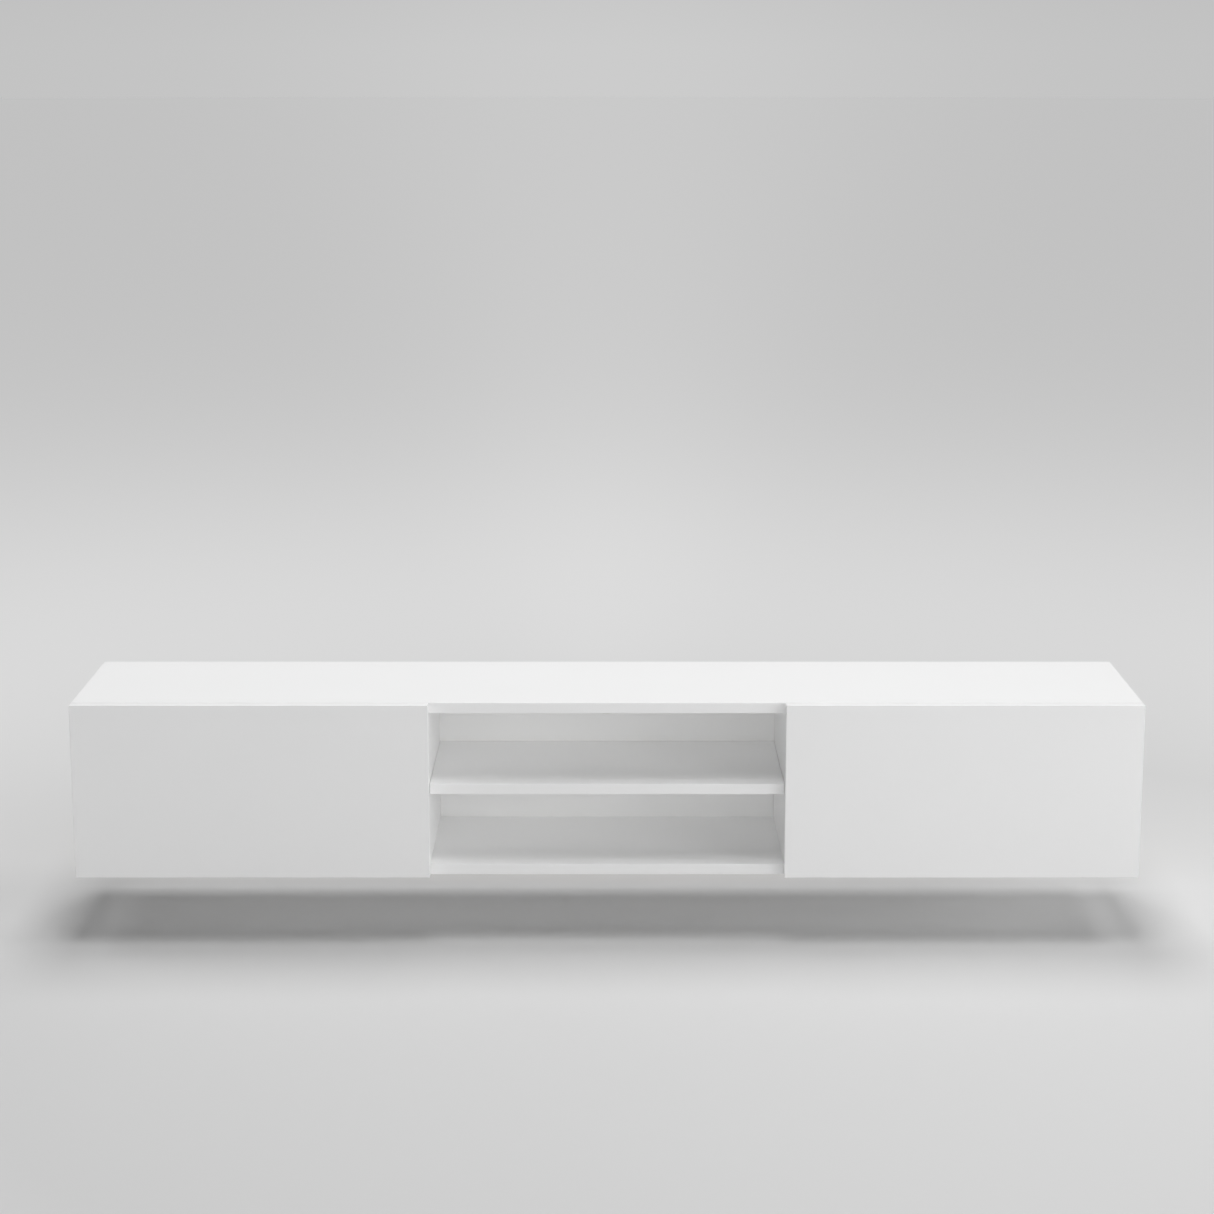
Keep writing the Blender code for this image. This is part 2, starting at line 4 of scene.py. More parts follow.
import bmesh
import bpy
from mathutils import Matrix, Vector


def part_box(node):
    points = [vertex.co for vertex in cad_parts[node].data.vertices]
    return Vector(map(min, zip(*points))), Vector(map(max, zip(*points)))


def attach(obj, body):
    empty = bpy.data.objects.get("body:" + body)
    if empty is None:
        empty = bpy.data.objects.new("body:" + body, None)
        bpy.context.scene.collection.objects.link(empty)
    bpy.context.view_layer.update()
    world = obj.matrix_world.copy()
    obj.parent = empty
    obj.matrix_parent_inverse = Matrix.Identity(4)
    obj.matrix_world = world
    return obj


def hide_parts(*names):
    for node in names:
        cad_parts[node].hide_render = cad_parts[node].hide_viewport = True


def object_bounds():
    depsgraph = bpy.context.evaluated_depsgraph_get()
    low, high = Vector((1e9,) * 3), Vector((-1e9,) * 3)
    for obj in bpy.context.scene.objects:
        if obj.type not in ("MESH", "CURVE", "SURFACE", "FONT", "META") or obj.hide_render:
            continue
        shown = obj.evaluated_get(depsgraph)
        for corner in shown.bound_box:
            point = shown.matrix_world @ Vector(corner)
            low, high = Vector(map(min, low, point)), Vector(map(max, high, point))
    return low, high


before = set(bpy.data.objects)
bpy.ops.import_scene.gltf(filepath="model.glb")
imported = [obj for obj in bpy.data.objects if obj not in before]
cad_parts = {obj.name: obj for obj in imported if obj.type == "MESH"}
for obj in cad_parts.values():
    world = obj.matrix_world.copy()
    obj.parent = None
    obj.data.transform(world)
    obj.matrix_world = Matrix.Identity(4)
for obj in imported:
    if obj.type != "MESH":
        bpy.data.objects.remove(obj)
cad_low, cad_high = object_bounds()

# --- Studio -----------------------------------------------
# The unit hangs a little above a wide floor of matt paper, as in a furniture studio. Soft lamps stand
# overhead, at the right end and to the front right, and the air behind adds a pale glow. Far off, the
# paper itself gives out painted light in place of backdrop lamps.
FLOAT_HEIGHT = 0.120            # floor to the unit's underside
FLOOR_RADIUS = 80.0
FLOOR_SIDES = 96
FLOOR_PAPER = "#dcdcdc"
FAR_PAINTED_LIGHT = 0.50                 # painted light: the paper's own glow far away, in place of backdrop lamps that would reach it
GLOW_CENTRE = (0.45, -0.50, 0.0)
GLOW_START = 1.45               # distance from that point at which the light begins
GLOW_REACH = 2.6
GLOW_SIDE_LOSS = 0.11           # how much less of the painted light there is away from the middle line
GLOW_NARROWNESS = 70.0
WHITE = (1.0, 1.0, 1.0, 1.0)

CAMERA_TO_FRONT = 4.374         # camera to the flaps' faces, level
CAMERA_OVER_TOP = 1.0775
CAMERA_PITCH = math.radians(11.74)
CAMERA_LENS = 79.88             # millimetres on a sensor of the width below
SENSOR_WIDTH = 36.0
VIEW_END = 300.0


def linear(hex_colour):
    """An sRGB hex colour as linear red, green, blue and alpha."""
    values = []
    for start in (1, 3, 5):
        value = int(hex_colour[start:start + 2], 16) / 255
        values.append(value / 12.92 if value <= 0.04045 else ((value + 0.055) / 1.055) ** 2.4)
    return (*values, 1.0)


def feed(tree, node, links):
    """Link outputs to a node's inputs; another node, given whole, stands for its first output."""
    for socket, source in links.items():
        tree.links.new(source.outputs[0] if hasattr(source, "outputs") else source, node.inputs[socket])


def add_node(tree, kind, settings=None, inputs=None, links=None):
    """Add a node with its settings, or its operation alone, its plain inputs and the links into it."""
    node = tree.nodes.new(kind)
    if isinstance(settings, str):
        settings = {"operation": settings}
    for setting, value in (settings or {}).items():
        setattr(node, setting, value)
    for socket, value in (inputs or {}).items():
        node.inputs[socket].default_value = value
    feed(tree, node, links or {})
    return node


def new_material(name):
    """An empty material with its surface shader and output joined up."""
    material = bpy.data.materials.new(name)
    material.use_nodes = True
    tree = material.node_tree
    tree.nodes.clear()
    shader = add_node(tree, "ShaderNodeBsdfPrincipled")
    add_node(tree, "ShaderNodeOutputMaterial", links={"Surface": shader.outputs["BSDF"]})
    return material, tree, shader


def link_object(name, content):
    """An object that holds a mesh, a lamp or a camera, added to the scene."""
    holder = bpy.data.objects.new(name, content)
    bpy.context.scene.collection.objects.link(holder)
    return holder


def near_middle_line(tree, heading):
    """1 straight ahead or behind, falling to 0 as a heading turns to the side."""
    squared = add_node(tree, "ShaderNodeMath", "MULTIPLY",
                       links={0: heading.outputs["X"], 1: heading.outputs["X"]})
    narrowed = add_node(tree, "ShaderNodeMath", "MULTIPLY", {1: -GLOW_NARROWNESS}, {0: squared})
    return add_node(tree, "ShaderNodeMath", "EXPONENT", links={0: narrowed})


camera_data = bpy.data.cameras.new("camera")
camera_data.lens = CAMERA_LENS
camera_data.sensor_width = SENSOR_WIDTH
camera_data.clip_end = VIEW_END
camera = link_object("camera", camera_data)
camera.location = (0.0, cad_low.y - CAMERA_TO_FRONT, cad_high.z + CAMERA_OVER_TOP)
camera.rotation_euler = (math.pi / 2 - CAMERA_PITCH, 0.0, 0.0)
bpy.context.scene.camera = camera

shape = bmesh.new()
bmesh.ops.create_circle(shape, cap_ends=True, radius=FLOOR_RADIUS, segments=FLOOR_SIDES)
bmesh.ops.translate(shape, vec=(0.0, 0.0, cad_low.z - FLOAT_HEIGHT), verts=shape.verts)
floor_mesh = bpy.data.meshes.new("floor")
shape.to_mesh(floor_mesh)
shape.free()
floor = link_object("floor", floor_mesh)
paper, tree, shader = new_material("matt studio paper")
place = add_node(tree, "ShaderNodeTexCoord").outputs["Object"]
level = add_node(tree, "ShaderNodeVectorMath", "MULTIPLY", {1: (1.0, 1.0, 0.0)}, {0: place})
distance = add_node(tree, "ShaderNodeVectorMath", "DISTANCE", {1: GLOW_CENTRE}, {0: level})
past_start = add_node(tree, "ShaderNodeMath", "SUBTRACT", {1: GLOW_START}, {0: distance.outputs["Value"]})
ahead = add_node(tree, "ShaderNodeMath", "MAXIMUM", {1: 0.0}, {0: past_start})
rise = add_node(tree, "ShaderNodeMath", "DIVIDE", {1: -GLOW_REACH}, {0: ahead})
fade = add_node(tree, "ShaderNodeMath", "EXPONENT", links={0: rise})
share = add_node(tree, "ShaderNodeMath", "SUBTRACT", {0: 1.0}, {1: fade})
direction = add_node(tree, "ShaderNodeVectorMath", "NORMALIZE", links={0: level})
heading = add_node(tree, "ShaderNodeSeparateXYZ", links={0: direction})
held = add_node(tree, "ShaderNodeMath", "MULTIPLY_ADD",
                {1: GLOW_SIDE_LOSS, 2: 1.0 - GLOW_SIDE_LOSS}, {0: near_middle_line(tree, heading)})
# Painted light: the paper glows by itself, more with distance from the glow's centre and less to the sides.
full = add_node(tree, "ShaderNodeMath", "MULTIPLY", {1: FAR_PAINTED_LIGHT}, {0: share})
glow = add_node(tree, "ShaderNodeMath", "MULTIPLY", links={0: full, 1: held})
feed(tree, shader, {"Emission Strength": glow})
shader.inputs["Emission Color"].default_value = WHITE
shader.inputs["Base Color"].default_value = linear(FLOOR_PAPER)
shader.inputs["Roughness"].default_value = 1.0
shader.inputs["Specular IOR Level"].default_value = 0.0
floor_mesh.materials.append(paper)

# The air is bright behind the unit, and far walls glow near the horizon: in front, a little at the
# right front, and at the left rear. The camera itself sees a painted backdrop there: a grey tone with
# painted shade, darker to the sides and towards the zenith.
AIR_BEHIND = 0.43
WALL_GLOW = (((0.0, -1.0, 0.0), 5.75), ((0.707, -0.707, 0.0), 0.8), ((-0.707, 0.707, 0.0), 2.9))
WALL_HEIGHT = 0.40              # sine of the angle up to which the walls glow
WALL_FOCUS = 4.0                # how narrowly each wall's glow faces its own way
HORIZON_TONE = "#cccccc"
HORIZON_SIDE_PAINTED_SHADE = "#c3c3c3"
ZENITH_PAINTED_SHADE = "#b6b6b6"
ZENITH_RISE = 9.0               # one over the height at which the zenith's painted shade is reached
world = bpy.data.worlds.new("studio air")
world.use_nodes = True
air = world.node_tree
sky = air.nodes["Background"]
outward = add_node(air, "ShaderNodeTexCoord").outputs["Generated"]
way = add_node(air, "ShaderNodeSeparateXYZ", links={0: outward})
behind = add_node(air, "ShaderNodeMath", "MAXIMUM", {1: 0.0}, {0: way.outputs["Y"]})
strength = add_node(air, "ShaderNodeMath", "MULTIPLY", {1: AIR_BEHIND}, {0: behind})
level_off = add_node(air, "ShaderNodeMath", "ABSOLUTE", links={0: way.outputs["Z"]})
low_wall = add_node(air, "ShaderNodeMath", {"operation": "SUBTRACT", "use_clamp": True}, {0: WALL_HEIGHT},
                    {1: level_off})
for toward, power in WALL_GLOW:
    facing = add_node(air, "ShaderNodeVectorMath", "DOT_PRODUCT", {1: toward}, {0: outward})
    ahead = add_node(air, "ShaderNodeMath", "MAXIMUM", {1: 0.0}, {0: facing.outputs["Value"]})
    spread = add_node(air, "ShaderNodeMath", "POWER", {1: WALL_FOCUS}, {0: ahead})
    patch = add_node(air, "ShaderNodeMath", "MULTIPLY", links={0: spread, 1: low_wall})
    strength = add_node(air, "ShaderNodeMath", "MULTIPLY_ADD", {1: power}, {0: patch, 2: strength})
seen = add_node(air, "ShaderNodeLightPath").outputs["Is Camera Ray"]
height = add_node(air, "ShaderNodeMath", {"operation": "MULTIPLY", "use_clamp": True}, {1: ZENITH_RISE},
                  {0: way.outputs["Z"]})
# Painted shade: the backdrop that the camera sees turns darker to the sides and towards the zenith.
horizon = add_node(air, "ShaderNodeMix", {"data_type": "RGBA"},
                   {6: linear(HORIZON_SIDE_PAINTED_SHADE), 7: linear(HORIZON_TONE)},
                   {0: near_middle_line(air, way)})
painted_backdrop = add_node(air, "ShaderNodeMix", {"data_type": "RGBA"}, {7: linear(ZENITH_PAINTED_SHADE)},
                         {0: height, 6: horizon.outputs[2]})
shown = add_node(air, "ShaderNodeMix", {"data_type": "RGBA"}, {6: WHITE},
                 {0: seen, 7: painted_backdrop.outputs[2]})
amount = add_node(air, "ShaderNodeMix", {"data_type": "FLOAT"}, {3: 1.0}, {0: seen, 2: strength})
feed(air, sky, {"Color": shown.outputs[2], "Strength": amount})
bpy.context.scene.world = world

# Each lamp: width and height, place, the point that it faces, and its power in watts.
LAMPS = {
    "rear overhead softbox": ((1.6, 2.6), (0.0, 1.4, 5.0), (0.0, -0.17, 0.0), 95.0),
    "front overhead softbox": ((1.6, 2.6), (0.0, -1.6, 5.0), (0.0, -0.17, 0.0), 83.0),
    "right overhead softbox": ((1.6, 1.6), (2.6, -0.5, 3.6), (0.0, -0.17, 0.0), 32.9),
    "left overhead softbox": ((1.6, 1.6), (-2.8, 0.8, 3.4), (0.0, -0.17, 0.0), 18.2),
    "right softbox": ((1.6, 1.6), (4.5, 0.0, 0.6), (0.0, -0.1, -0.2), 18.4),
    "right front softbox": ((1.6, 1.6), (4.5, -1.5, 0.9), (0.0, -0.1, -0.2), 21.1),
    "far right front softbox": ((2.0, 2.0), (4.0, -4.0, 1.6), (0.0, -0.1, -0.1), 54.8),
}
for name, (size, lamp_place, aim, power) in LAMPS.items():
    lamp = bpy.data.lights.new(name, "AREA")
    lamp.shape = "RECTANGLE"
    lamp.size, lamp.size_y = size
    lamp.energy = power
    holder = link_object(name, lamp)
    holder.location = lamp_place
    holder.rotation_euler = (Vector(aim) - Vector(lamp_place)).to_track_quat("-Z", "Y").to_euler()
    holder.visible_camera = False

# White boards hand light on many times before it fades.
DIFFUSE_BOUNCES = 16
ALL_BOUNCES = 20
scene = bpy.context.scene
scene.view_settings.view_transform = "Standard"
scene.view_settings.look = "None"
scene.cycles.diffuse_bounces = DIFFUSE_BOUNCES
scene.cycles.max_bounces = ALL_BOUNCES

# --- White boards -----------------------------------------
# Top, bottom, ends, partitions and shelf are 18 mm chipboard faced with white melamine paper.
# A thin white band is glued on each front edge, and the rear edges are left raw from the saw.
MELAMINE = "#fcfcfc"
MELAMINE_CLOUD = "#fafafa"
CLOUDS_PER_METRE = 7.0
WIPES_PER_METRE = 22.0
MELAMINE_ROUGHNESS = (0.31, 0.41)
PEARL_SIZE = 0.0012             # the press plate's pearl grain, drawn twice its real size to show
PEARL_DEPTH = 0.0001
PEARL_STRENGTH = 0.10
BAND_THICKNESS = 0.0010
BAND_SMOOTHER = 0.05            # how much less rough the band is than the board
BAND_SEAM = "#e9e9e8"
SEAM_HALF_WIDTH = 0.00015       # the glue line is finer, and is drawn this wide so that it shows
CHIP_LIGHT = "#d3bd95"
CHIP_DARK = "#a48860"
CHIP_DUST = "#bfa57a"
CHIP_GAP = "#84694a"
CHIP_SIZE = 0.0010
CHIP_SQUEEZE = 0.25             # chips are pressed four times as long as they are thick
CHIP_DEPTH = 0.0005
DUST_SIZE = 0.0006
GAP_FROM = 0.93                 # the chips with the highest chance values are dark gaps
SAWN_ROUGHNESS = 0.85
REARWARD = 0.7                  # how squarely a face looks to the rear before it counts as sawn


def melamine_finish(name, into_board):
    """White melamine: clean, very slightly clouded, with a pearl grain and a glossier edge band.

    into_board gives how far a point is from the nearest banded edge."""
    material, tree, shader = new_material(name)
    place = add_node(tree, "ShaderNodeTexCoord").outputs["Object"]
    cloud = add_node(tree, "ShaderNodeTexNoise", inputs={"Scale": CLOUDS_PER_METRE, "Detail": 4.0},
                     links={"Vector": place})
    face = add_node(tree, "ShaderNodeMix", {"data_type": "RGBA"},
                    {6: linear(MELAMINE), 7: linear(MELAMINE_CLOUD)}, {0: cloud})
    depth = into_board(tree, place)
    seam = add_node(tree, "ShaderNodeMath", "COMPARE",
                    {1: BAND_THICKNESS, 2: SEAM_HALF_WIDTH}, {0: depth})
    colour = add_node(tree, "ShaderNodeMix", {"data_type": "RGBA"}, {7: linear(BAND_SEAM)},
                      {0: seam, 6: face.outputs[2]})
    wiped = add_node(tree, "ShaderNodeTexNoise",
                     inputs={"Scale": WIPES_PER_METRE, "Detail": 6.0, "Distortion": 1.5},
                     links={"Vector": place})
    matt = add_node(tree, "ShaderNodeMapRange",
                    inputs={"To Min": MELAMINE_ROUGHNESS[0], "To Max": MELAMINE_ROUGHNESS[1]},
                    links={"Value": wiped})
    band = add_node(tree, "ShaderNodeMath", "LESS_THAN", {1: BAND_THICKNESS}, {0: depth})
    rough = add_node(tree, "ShaderNodeMath", "MULTIPLY_ADD", {1: -BAND_SMOOTHER}, {0: band, 2: matt})
    pearl = add_node(tree, "ShaderNodeTexNoise", inputs={"Scale": 1 / PEARL_SIZE, "Detail": 2.0},
                     links={"Vector": place})
    relief = add_node(tree, "ShaderNodeBump", inputs={"Strength": PEARL_STRENGTH, "Distance": PEARL_DEPTH},
                      links={"Height": pearl})
    feed(tree, shader, {"Base Color": colour.outputs[2], "Roughness": rough, "Normal": relief})
    return material, tree, shader, place, colour, rough, relief


def behind_front_edge(tree, place):
    """Distance behind the carcass's front plane, where its boards are banded."""
    axes = add_node(tree, "ShaderNodeSeparateXYZ", links={0: place})
    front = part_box("top_panel")[0].y
    return add_node(tree, "ShaderNodeMath", "SUBTRACT", {1: front}, {0: axes.outputs["Y"]})


def raw_backed_finish(name, chip_scale):
    """White melamine whose rear edge shows the sawn core: pale pressed chips, dust and dark gaps."""
    material, tree, shader, place, colour, rough, relief = melamine_finish(name, behind_front_edge)
    normal = add_node(tree, "ShaderNodeNewGeometry").outputs["True Normal"]
    facing = add_node(tree, "ShaderNodeSeparateXYZ", links={0: normal})
    sawn = add_node(tree, "ShaderNodeMath", "GREATER_THAN", {1: REARWARD}, {0: facing.outputs["Y"]})
    stretched = add_node(tree, "ShaderNodeMapping", inputs={"Scale": chip_scale}, links={"Vector": place})
    chips = add_node(tree, "ShaderNodeTexVoronoi", inputs={"Scale": 1 / CHIP_SIZE, "Randomness": 1.0},
                     links={"Vector": stretched})
    chip_tone = add_node(tree, "ShaderNodeSeparateColor", links={0: chips.outputs["Color"]})
    dust = add_node(tree, "ShaderNodeTexNoise", inputs={"Scale": 1 / DUST_SIZE, "Detail": 3.0},
                    links={"Vector": place})
    wood = add_node(tree, "ShaderNodeMix", {"data_type": "RGBA"},
                    {6: linear(CHIP_LIGHT), 7: linear(CHIP_DARK)}, {0: chip_tone})
    dusty = add_node(tree, "ShaderNodeMix", {"data_type": "RGBA"}, {7: linear(CHIP_DUST)},
                     {0: dust, 6: wood.outputs[2]})
    gap = add_node(tree, "ShaderNodeMath", "GREATER_THAN", {1: GAP_FROM}, {0: chip_tone.outputs[1]})
    core = add_node(tree, "ShaderNodeMix", {"data_type": "RGBA"}, {7: linear(CHIP_GAP)},
                    {0: gap, 6: dusty.outputs[2]})
    both = add_node(tree, "ShaderNodeMix", {"data_type": "RGBA"}, None,
                    {0: sawn, 6: colour.outputs[2], 7: core.outputs[2]})
    both_rough = add_node(tree, "ShaderNodeMix", {"data_type": "FLOAT"}, {3: SAWN_ROUGHNESS},
                          {0: sawn, 2: rough})
    chip_relief = add_node(tree, "ShaderNodeBump", inputs={"Distance": CHIP_DEPTH},
                           links={"Strength": sawn, "Height": chips.outputs["Distance"],
                                  "Normal": relief})
    feed(tree, shader, {"Base Color": both.outputs[2], "Roughness": both_rough, "Normal": chip_relief})
    return material


def paint_nodes(names, material):
    """Give CAD nodes their finish."""
    for name in names:
        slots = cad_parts[name].data.materials
        slots.clear()
        slots.append(material)


paint_nodes(("top_panel", "bottom_panel", "centre_shelf"),
            raw_backed_finish("white melamine long board", (CHIP_SQUEEZE, 1.0, 1.0)))
paint_nodes(("left_end_panel", "right_end_panel", "left_partition", "right_partition"),
            raw_backed_finish("white melamine upright", (1.0, 1.0, CHIP_SQUEEZE)))

# --- Flaps ------------------------------------------------
# Each front is one plain 18 mm board, white on both faces and banded on all four edges.
# It has no handle: it swings down on two concealed hinges after a push at its top edge.
flap_low, flap_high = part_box("right_flap")


def inside_four_edges(tree, place):
    """Distance from the nearest edge of a flap, the same for the left and the right one."""
    axes = add_node(tree, "ShaderNodeSeparateXYZ", links={0: place})
    mirrored = add_node(tree, "ShaderNodeMath", "ABSOLUTE", links={0: axes.outputs["X"]})
    reach = []
    for along, low, high in ((mirrored, flap_low.x, flap_high.x),
                             (axes.outputs["Z"], flap_low.z, flap_high.z)):
        centred = add_node(tree, "ShaderNodeMath", "SUBTRACT", {1: (low + high) / 2}, {0: along})
        away = add_node(tree, "ShaderNodeMath", "ABSOLUTE", links={0: centred})
        reach.append(add_node(tree, "ShaderNodeMath", "SUBTRACT", {0: (high - low) / 2}, {1: away}))
    return add_node(tree, "ShaderNodeMath", "MINIMUM", links={0: reach[0], 1: reach[1]})


paint_nodes(("left_flap", "right_flap"),
            melamine_finish("white melamine board banded all round", inside_four_edges)[0])

# --- Back boards ------------------------------------------
# Thin hardboard, painted white in front and left brown behind, slid into grooves all round.
# The front takes a soft sheen; the rear shows the pressed fibres and the odd dark speck.
BACK_PAINT = "#fcfcfc"
BACK_PAINT_THIN = "#f9f9f8"
THIN_SPOTS_PER_METRE = 5.0
ROLLER_GRAINS_PER_METRE = 450.0
FIBRE_LIGHT = "#a5835b"
FIBRE_DARK = "#7d5f40"
FIBRE_WIDTH = 0.0006            # drawn about four times as wide as real fibres, so that they show
FIBRE_SQUEEZE = 0.12            # one over how many times longer than wide the fibres are
SPECK = "#5d452d"
SPECKS_PER_METRE = 140.0
SPECK_SHARE = 0.10              # a speck's radius, as a share of the distance between specks
PAINTED_ROUGHNESS = 0.5
BARE_ROUGHNESS = 0.8

hardboard, tree, shader = new_material("painted hardboard")
place = add_node(tree, "ShaderNodeTexCoord").outputs["Object"]
roller = add_node(tree, "ShaderNodeTexNoise", inputs={"Scale": ROLLER_GRAINS_PER_METRE, "Detail": 2.0},
                  links={"Vector": place})
thin = add_node(tree, "ShaderNodeTexNoise", inputs={"Scale": THIN_SPOTS_PER_METRE, "Detail": 3.0},
                links={"Vector": place})
paint = add_node(tree, "ShaderNodeMix", {"data_type": "RGBA"},
                 {6: linear(BACK_PAINT), 7: linear(BACK_PAINT_THIN)}, {0: thin})
combed = add_node(tree, "ShaderNodeMapping", inputs={"Scale": (FIBRE_SQUEEZE, 1.0, 1.0)},
                  links={"Vector": place})
fibres = add_node(tree, "ShaderNodeTexNoise",
                  inputs={"Scale": 1 / FIBRE_WIDTH, "Detail": 5.0, "Roughness": 0.7},
                  links={"Vector": combed})
specks = add_node(tree, "ShaderNodeTexVoronoi", inputs={"Scale": SPECKS_PER_METRE}, links={"Vector": place})
speck = add_node(tree, "ShaderNodeMath", "LESS_THAN", {1: SPECK_SHARE}, {0: specks.outputs["Distance"]})
brown = add_node(tree, "ShaderNodeMix", {"data_type": "RGBA"},
                 {6: linear(FIBRE_LIGHT), 7: linear(FIBRE_DARK)}, {0: fibres})
specked = add_node(tree, "ShaderNodeMix", {"data_type": "RGBA"}, {7: linear(SPECK)},
                   {0: speck, 6: brown.outputs[2]})
normal = add_node(tree, "ShaderNodeNewGeometry").outputs["True Normal"]
facing = add_node(tree, "ShaderNodeSeparateXYZ", links={0: normal})
rear = add_node(tree, "ShaderNodeMath", "GREATER_THAN", {1: 0.0}, {0: facing.outputs["Y"]})
colour = add_node(tree, "ShaderNodeMix", {"data_type": "RGBA"}, None,
                  {0: rear, 6: paint.outputs[2], 7: specked.outputs[2]})
rough = add_node(tree, "ShaderNodeMix", {"data_type": "FLOAT"}, {2: PAINTED_ROUGHNESS, 3: BARE_ROUGHNESS},
                 {0: rear})
height = add_node(tree, "ShaderNodeMix", {"data_type": "FLOAT"}, None, {0: rear, 2: roller, 3: fibres})
relief = add_node(tree, "ShaderNodeBump", inputs={"Strength": 0.25, "Distance": 0.0002},
                  links={"Height": height})
feed(tree, shader, {"Base Color": colour.outputs[2], "Roughness": rough, "Normal": relief})
paint_nodes(("left_back_panel", "centre_back_panel", "right_back_panel"), hardboard)

# --- Cable outlet -----------------------------------------
# A ring of moulded white ABS lines the round outlet high in the centre back.
# It snaps in from the front, with a rolled lip on the board and four springy catches behind.
LIP_WIDTH = 0.0048
LIP_THICKNESS = 0.0015
TUBE_WALL = 0.0025
RING_EASE = 0.0007
RING_SIDES = 72
CATCH_WIDTH = 0.006
CATCH_REACH = 0.0020            # how far a catch stands out of the tube
CATCH_ROOT = 0.001
CATCH_SPACE = 0.0004            # between the board's rear face and a catch
CATCH_THICKNESS = 0.0020
CATCH_EDGE = 0.0003
JOIN_DISTANCE = 1e-6            # points nearer than this are one point
RUB_RADIUS = 0.0004             # how far in from a corner handling has polished it
FLOW_MARKS_PER_METRE = 60.0
PLASTIC_IOR = 1.53


def eased(points, radius, closed=True, steps=3):
    """The same outline with each corner turned into a curve that stops short of the sides' middles."""
    curved = []
    count = len(points)
    for number, point in enumerate(points):
        if not closed and number in (0, count - 1):
            curved.append(tuple(point))
            continue
        corner = Vector((*point, 0.0))
        sides = [Vector((*points[(number + step) % count], 0.0)) - corner for step in (-1, 1)]
        cuts = [corner + side.normalized() * min(radius, side.length / 2.1) for side in sides]
        for step in range(steps + 1):
            t = step / steps
            spot = cuts[0] * (1 - t) ** 2 + corner * 2 * t * (1 - t) + cuts[1] * t ** 2
            curved.append((spot.x, spot.y))
    return curved


def rectangle(first_low, first_high, second_low, second_high):
    """The four corners of a rectangle across an axis."""
    return [(first_low, second_low), (first_high, second_low), (first_high, second_high),
            (first_low, second_high)]


def rod_profile(radius, start, end):
    """The profile of a plain round bar between two places along its axis."""
    return [(0, start), (radius, start), (radius, end), (0, end)]


def finished(shape):
    """A closed mesh with its faces outward, smooth but for corners of more than 35 degrees."""
    bmesh.ops.remove_doubles(shape, verts=shape.verts, dist=JOIN_DISTANCE)
    bmesh.ops.recalc_face_normals(shape, faces=shape.faces)
    mesh = bpy.data.meshes.new("shape")
    shape.to_mesh(mesh)
    shape.free()
    mesh.shade_smooth()
    mesh.set_sharp_from_angle(angle=math.radians(35.0))
    return mesh


def bevelled(shape, width, sharper_than):
    """Round the shape's edges that are sharper than an angle in degrees."""
    bmesh.ops.recalc_face_normals(shape, faces=shape.faces)
    sharp = [edge for edge in shape.edges if edge.calc_face_angle(0.0) > math.radians(sharper_than)]
    bmesh.ops.bevel(shape, geom=sharp, offset=width, segments=2, profile=0.5, affect="EDGES",
                    clamp_overlap=True)


def turned(profile, axis, centre, sides=48, closed=False):
    """A profile of (radius, along) points turned about the axis through the centre."""
    axis = Vector(axis)
    across = axis.orthogonal().normalized()
    upward = axis.cross(across)
    shape = bmesh.new()
    rings = []
    for radius, along in profile:
        middle = Vector(centre) + axis * along
        ring = []
        for step in range(1 if radius == 0 else sides):
            angle = step * math.tau / sides
            outward = across * math.cos(angle) + upward * math.sin(angle)
            ring.append(shape.verts.new(middle + outward * radius))
        rings.append(ring)
    for first, second in zip(rings, rings[1:] + (rings[:1] if closed else [])):
        for step in range(sides):
            corners = [first[step % len(first)], first[(step + 1) % len(first)],
                       second[(step + 1) % len(second)], second[step % len(second)]]
            corners = list(dict.fromkeys(corners))
            if len(corners) > 2:
                shape.faces.new(corners)
    return finished(shape)


def prism(outline, low, high, axis, bevel=0.0):
    """A solid with its outline across an axis: (y, z) across X, (x, z) across Y, (x, y) across Z."""
    def corner(first, second, along):
        return {"X": (along, first, second), "Y": (first, along, second), "Z": (first, second, along)}[axis]
    shape = bmesh.new()
    near = [shape.verts.new(corner(*spot, low)) for spot in outline]
    far = [shape.verts.new(corner(*spot, high)) for spot in outline]
    shape.faces.new(near)
    shape.faces.new(far[::-1])
    for step in range(len(outline)):
        after = (step + 1) % len(outline)
        shape.faces.new([near[step], near[after], far[after], far[step]])
    if bevel:
        bevelled(shape, bevel, 45)
    return finished(shape)


def made_plain(carrier):
    """The carrier's evaluated shape as a plain mesh; the carrier itself is thrown away."""
    shown = carrier.evaluated_get(bpy.context.evaluated_depsgraph_get())
    mesh = bpy.data.meshes.new_from_object(shown)
    bpy.data.objects.remove(carrier, do_unlink=True)
    return mesh


def shaped(mesh, tools):
    """The mesh after each tool mesh has been cut from it or joined to it."""
    blank = link_object("blank", mesh)
    helpers = []
    for operation, tool in tools:
        helper = link_object("tool", tool)
        change = blank.modifiers.new("change", "BOOLEAN")
        change.operation = operation
        change.solver = "EXACT"
        change.object = helper
        helpers.append(helper)
    result = made_plain(blank)
    for helper in helpers:
        bpy.data.objects.remove(helper, do_unlink=True)
    shape = bmesh.new()
    shape.from_mesh(result)
    return finished(shape)


def worn_edges(tree):
    """1 on rounded and rubbed corners, 0 on flat faces."""
    rounded = add_node(tree, "ShaderNodeBevel", {"samples": 4}, {"Radius": RUB_RADIUS})
    plain = add_node(tree, "ShaderNodeNewGeometry").outputs["Normal"]
    same = add_node(tree, "ShaderNodeVectorMath", "DOT_PRODUCT", links={0: rounded, 1: plain})
    return add_node(tree, "ShaderNodeMapRange", inputs={"From Min": 0.99, "From Max": 0.80},
                    links={"Value": same.outputs["Value"]})


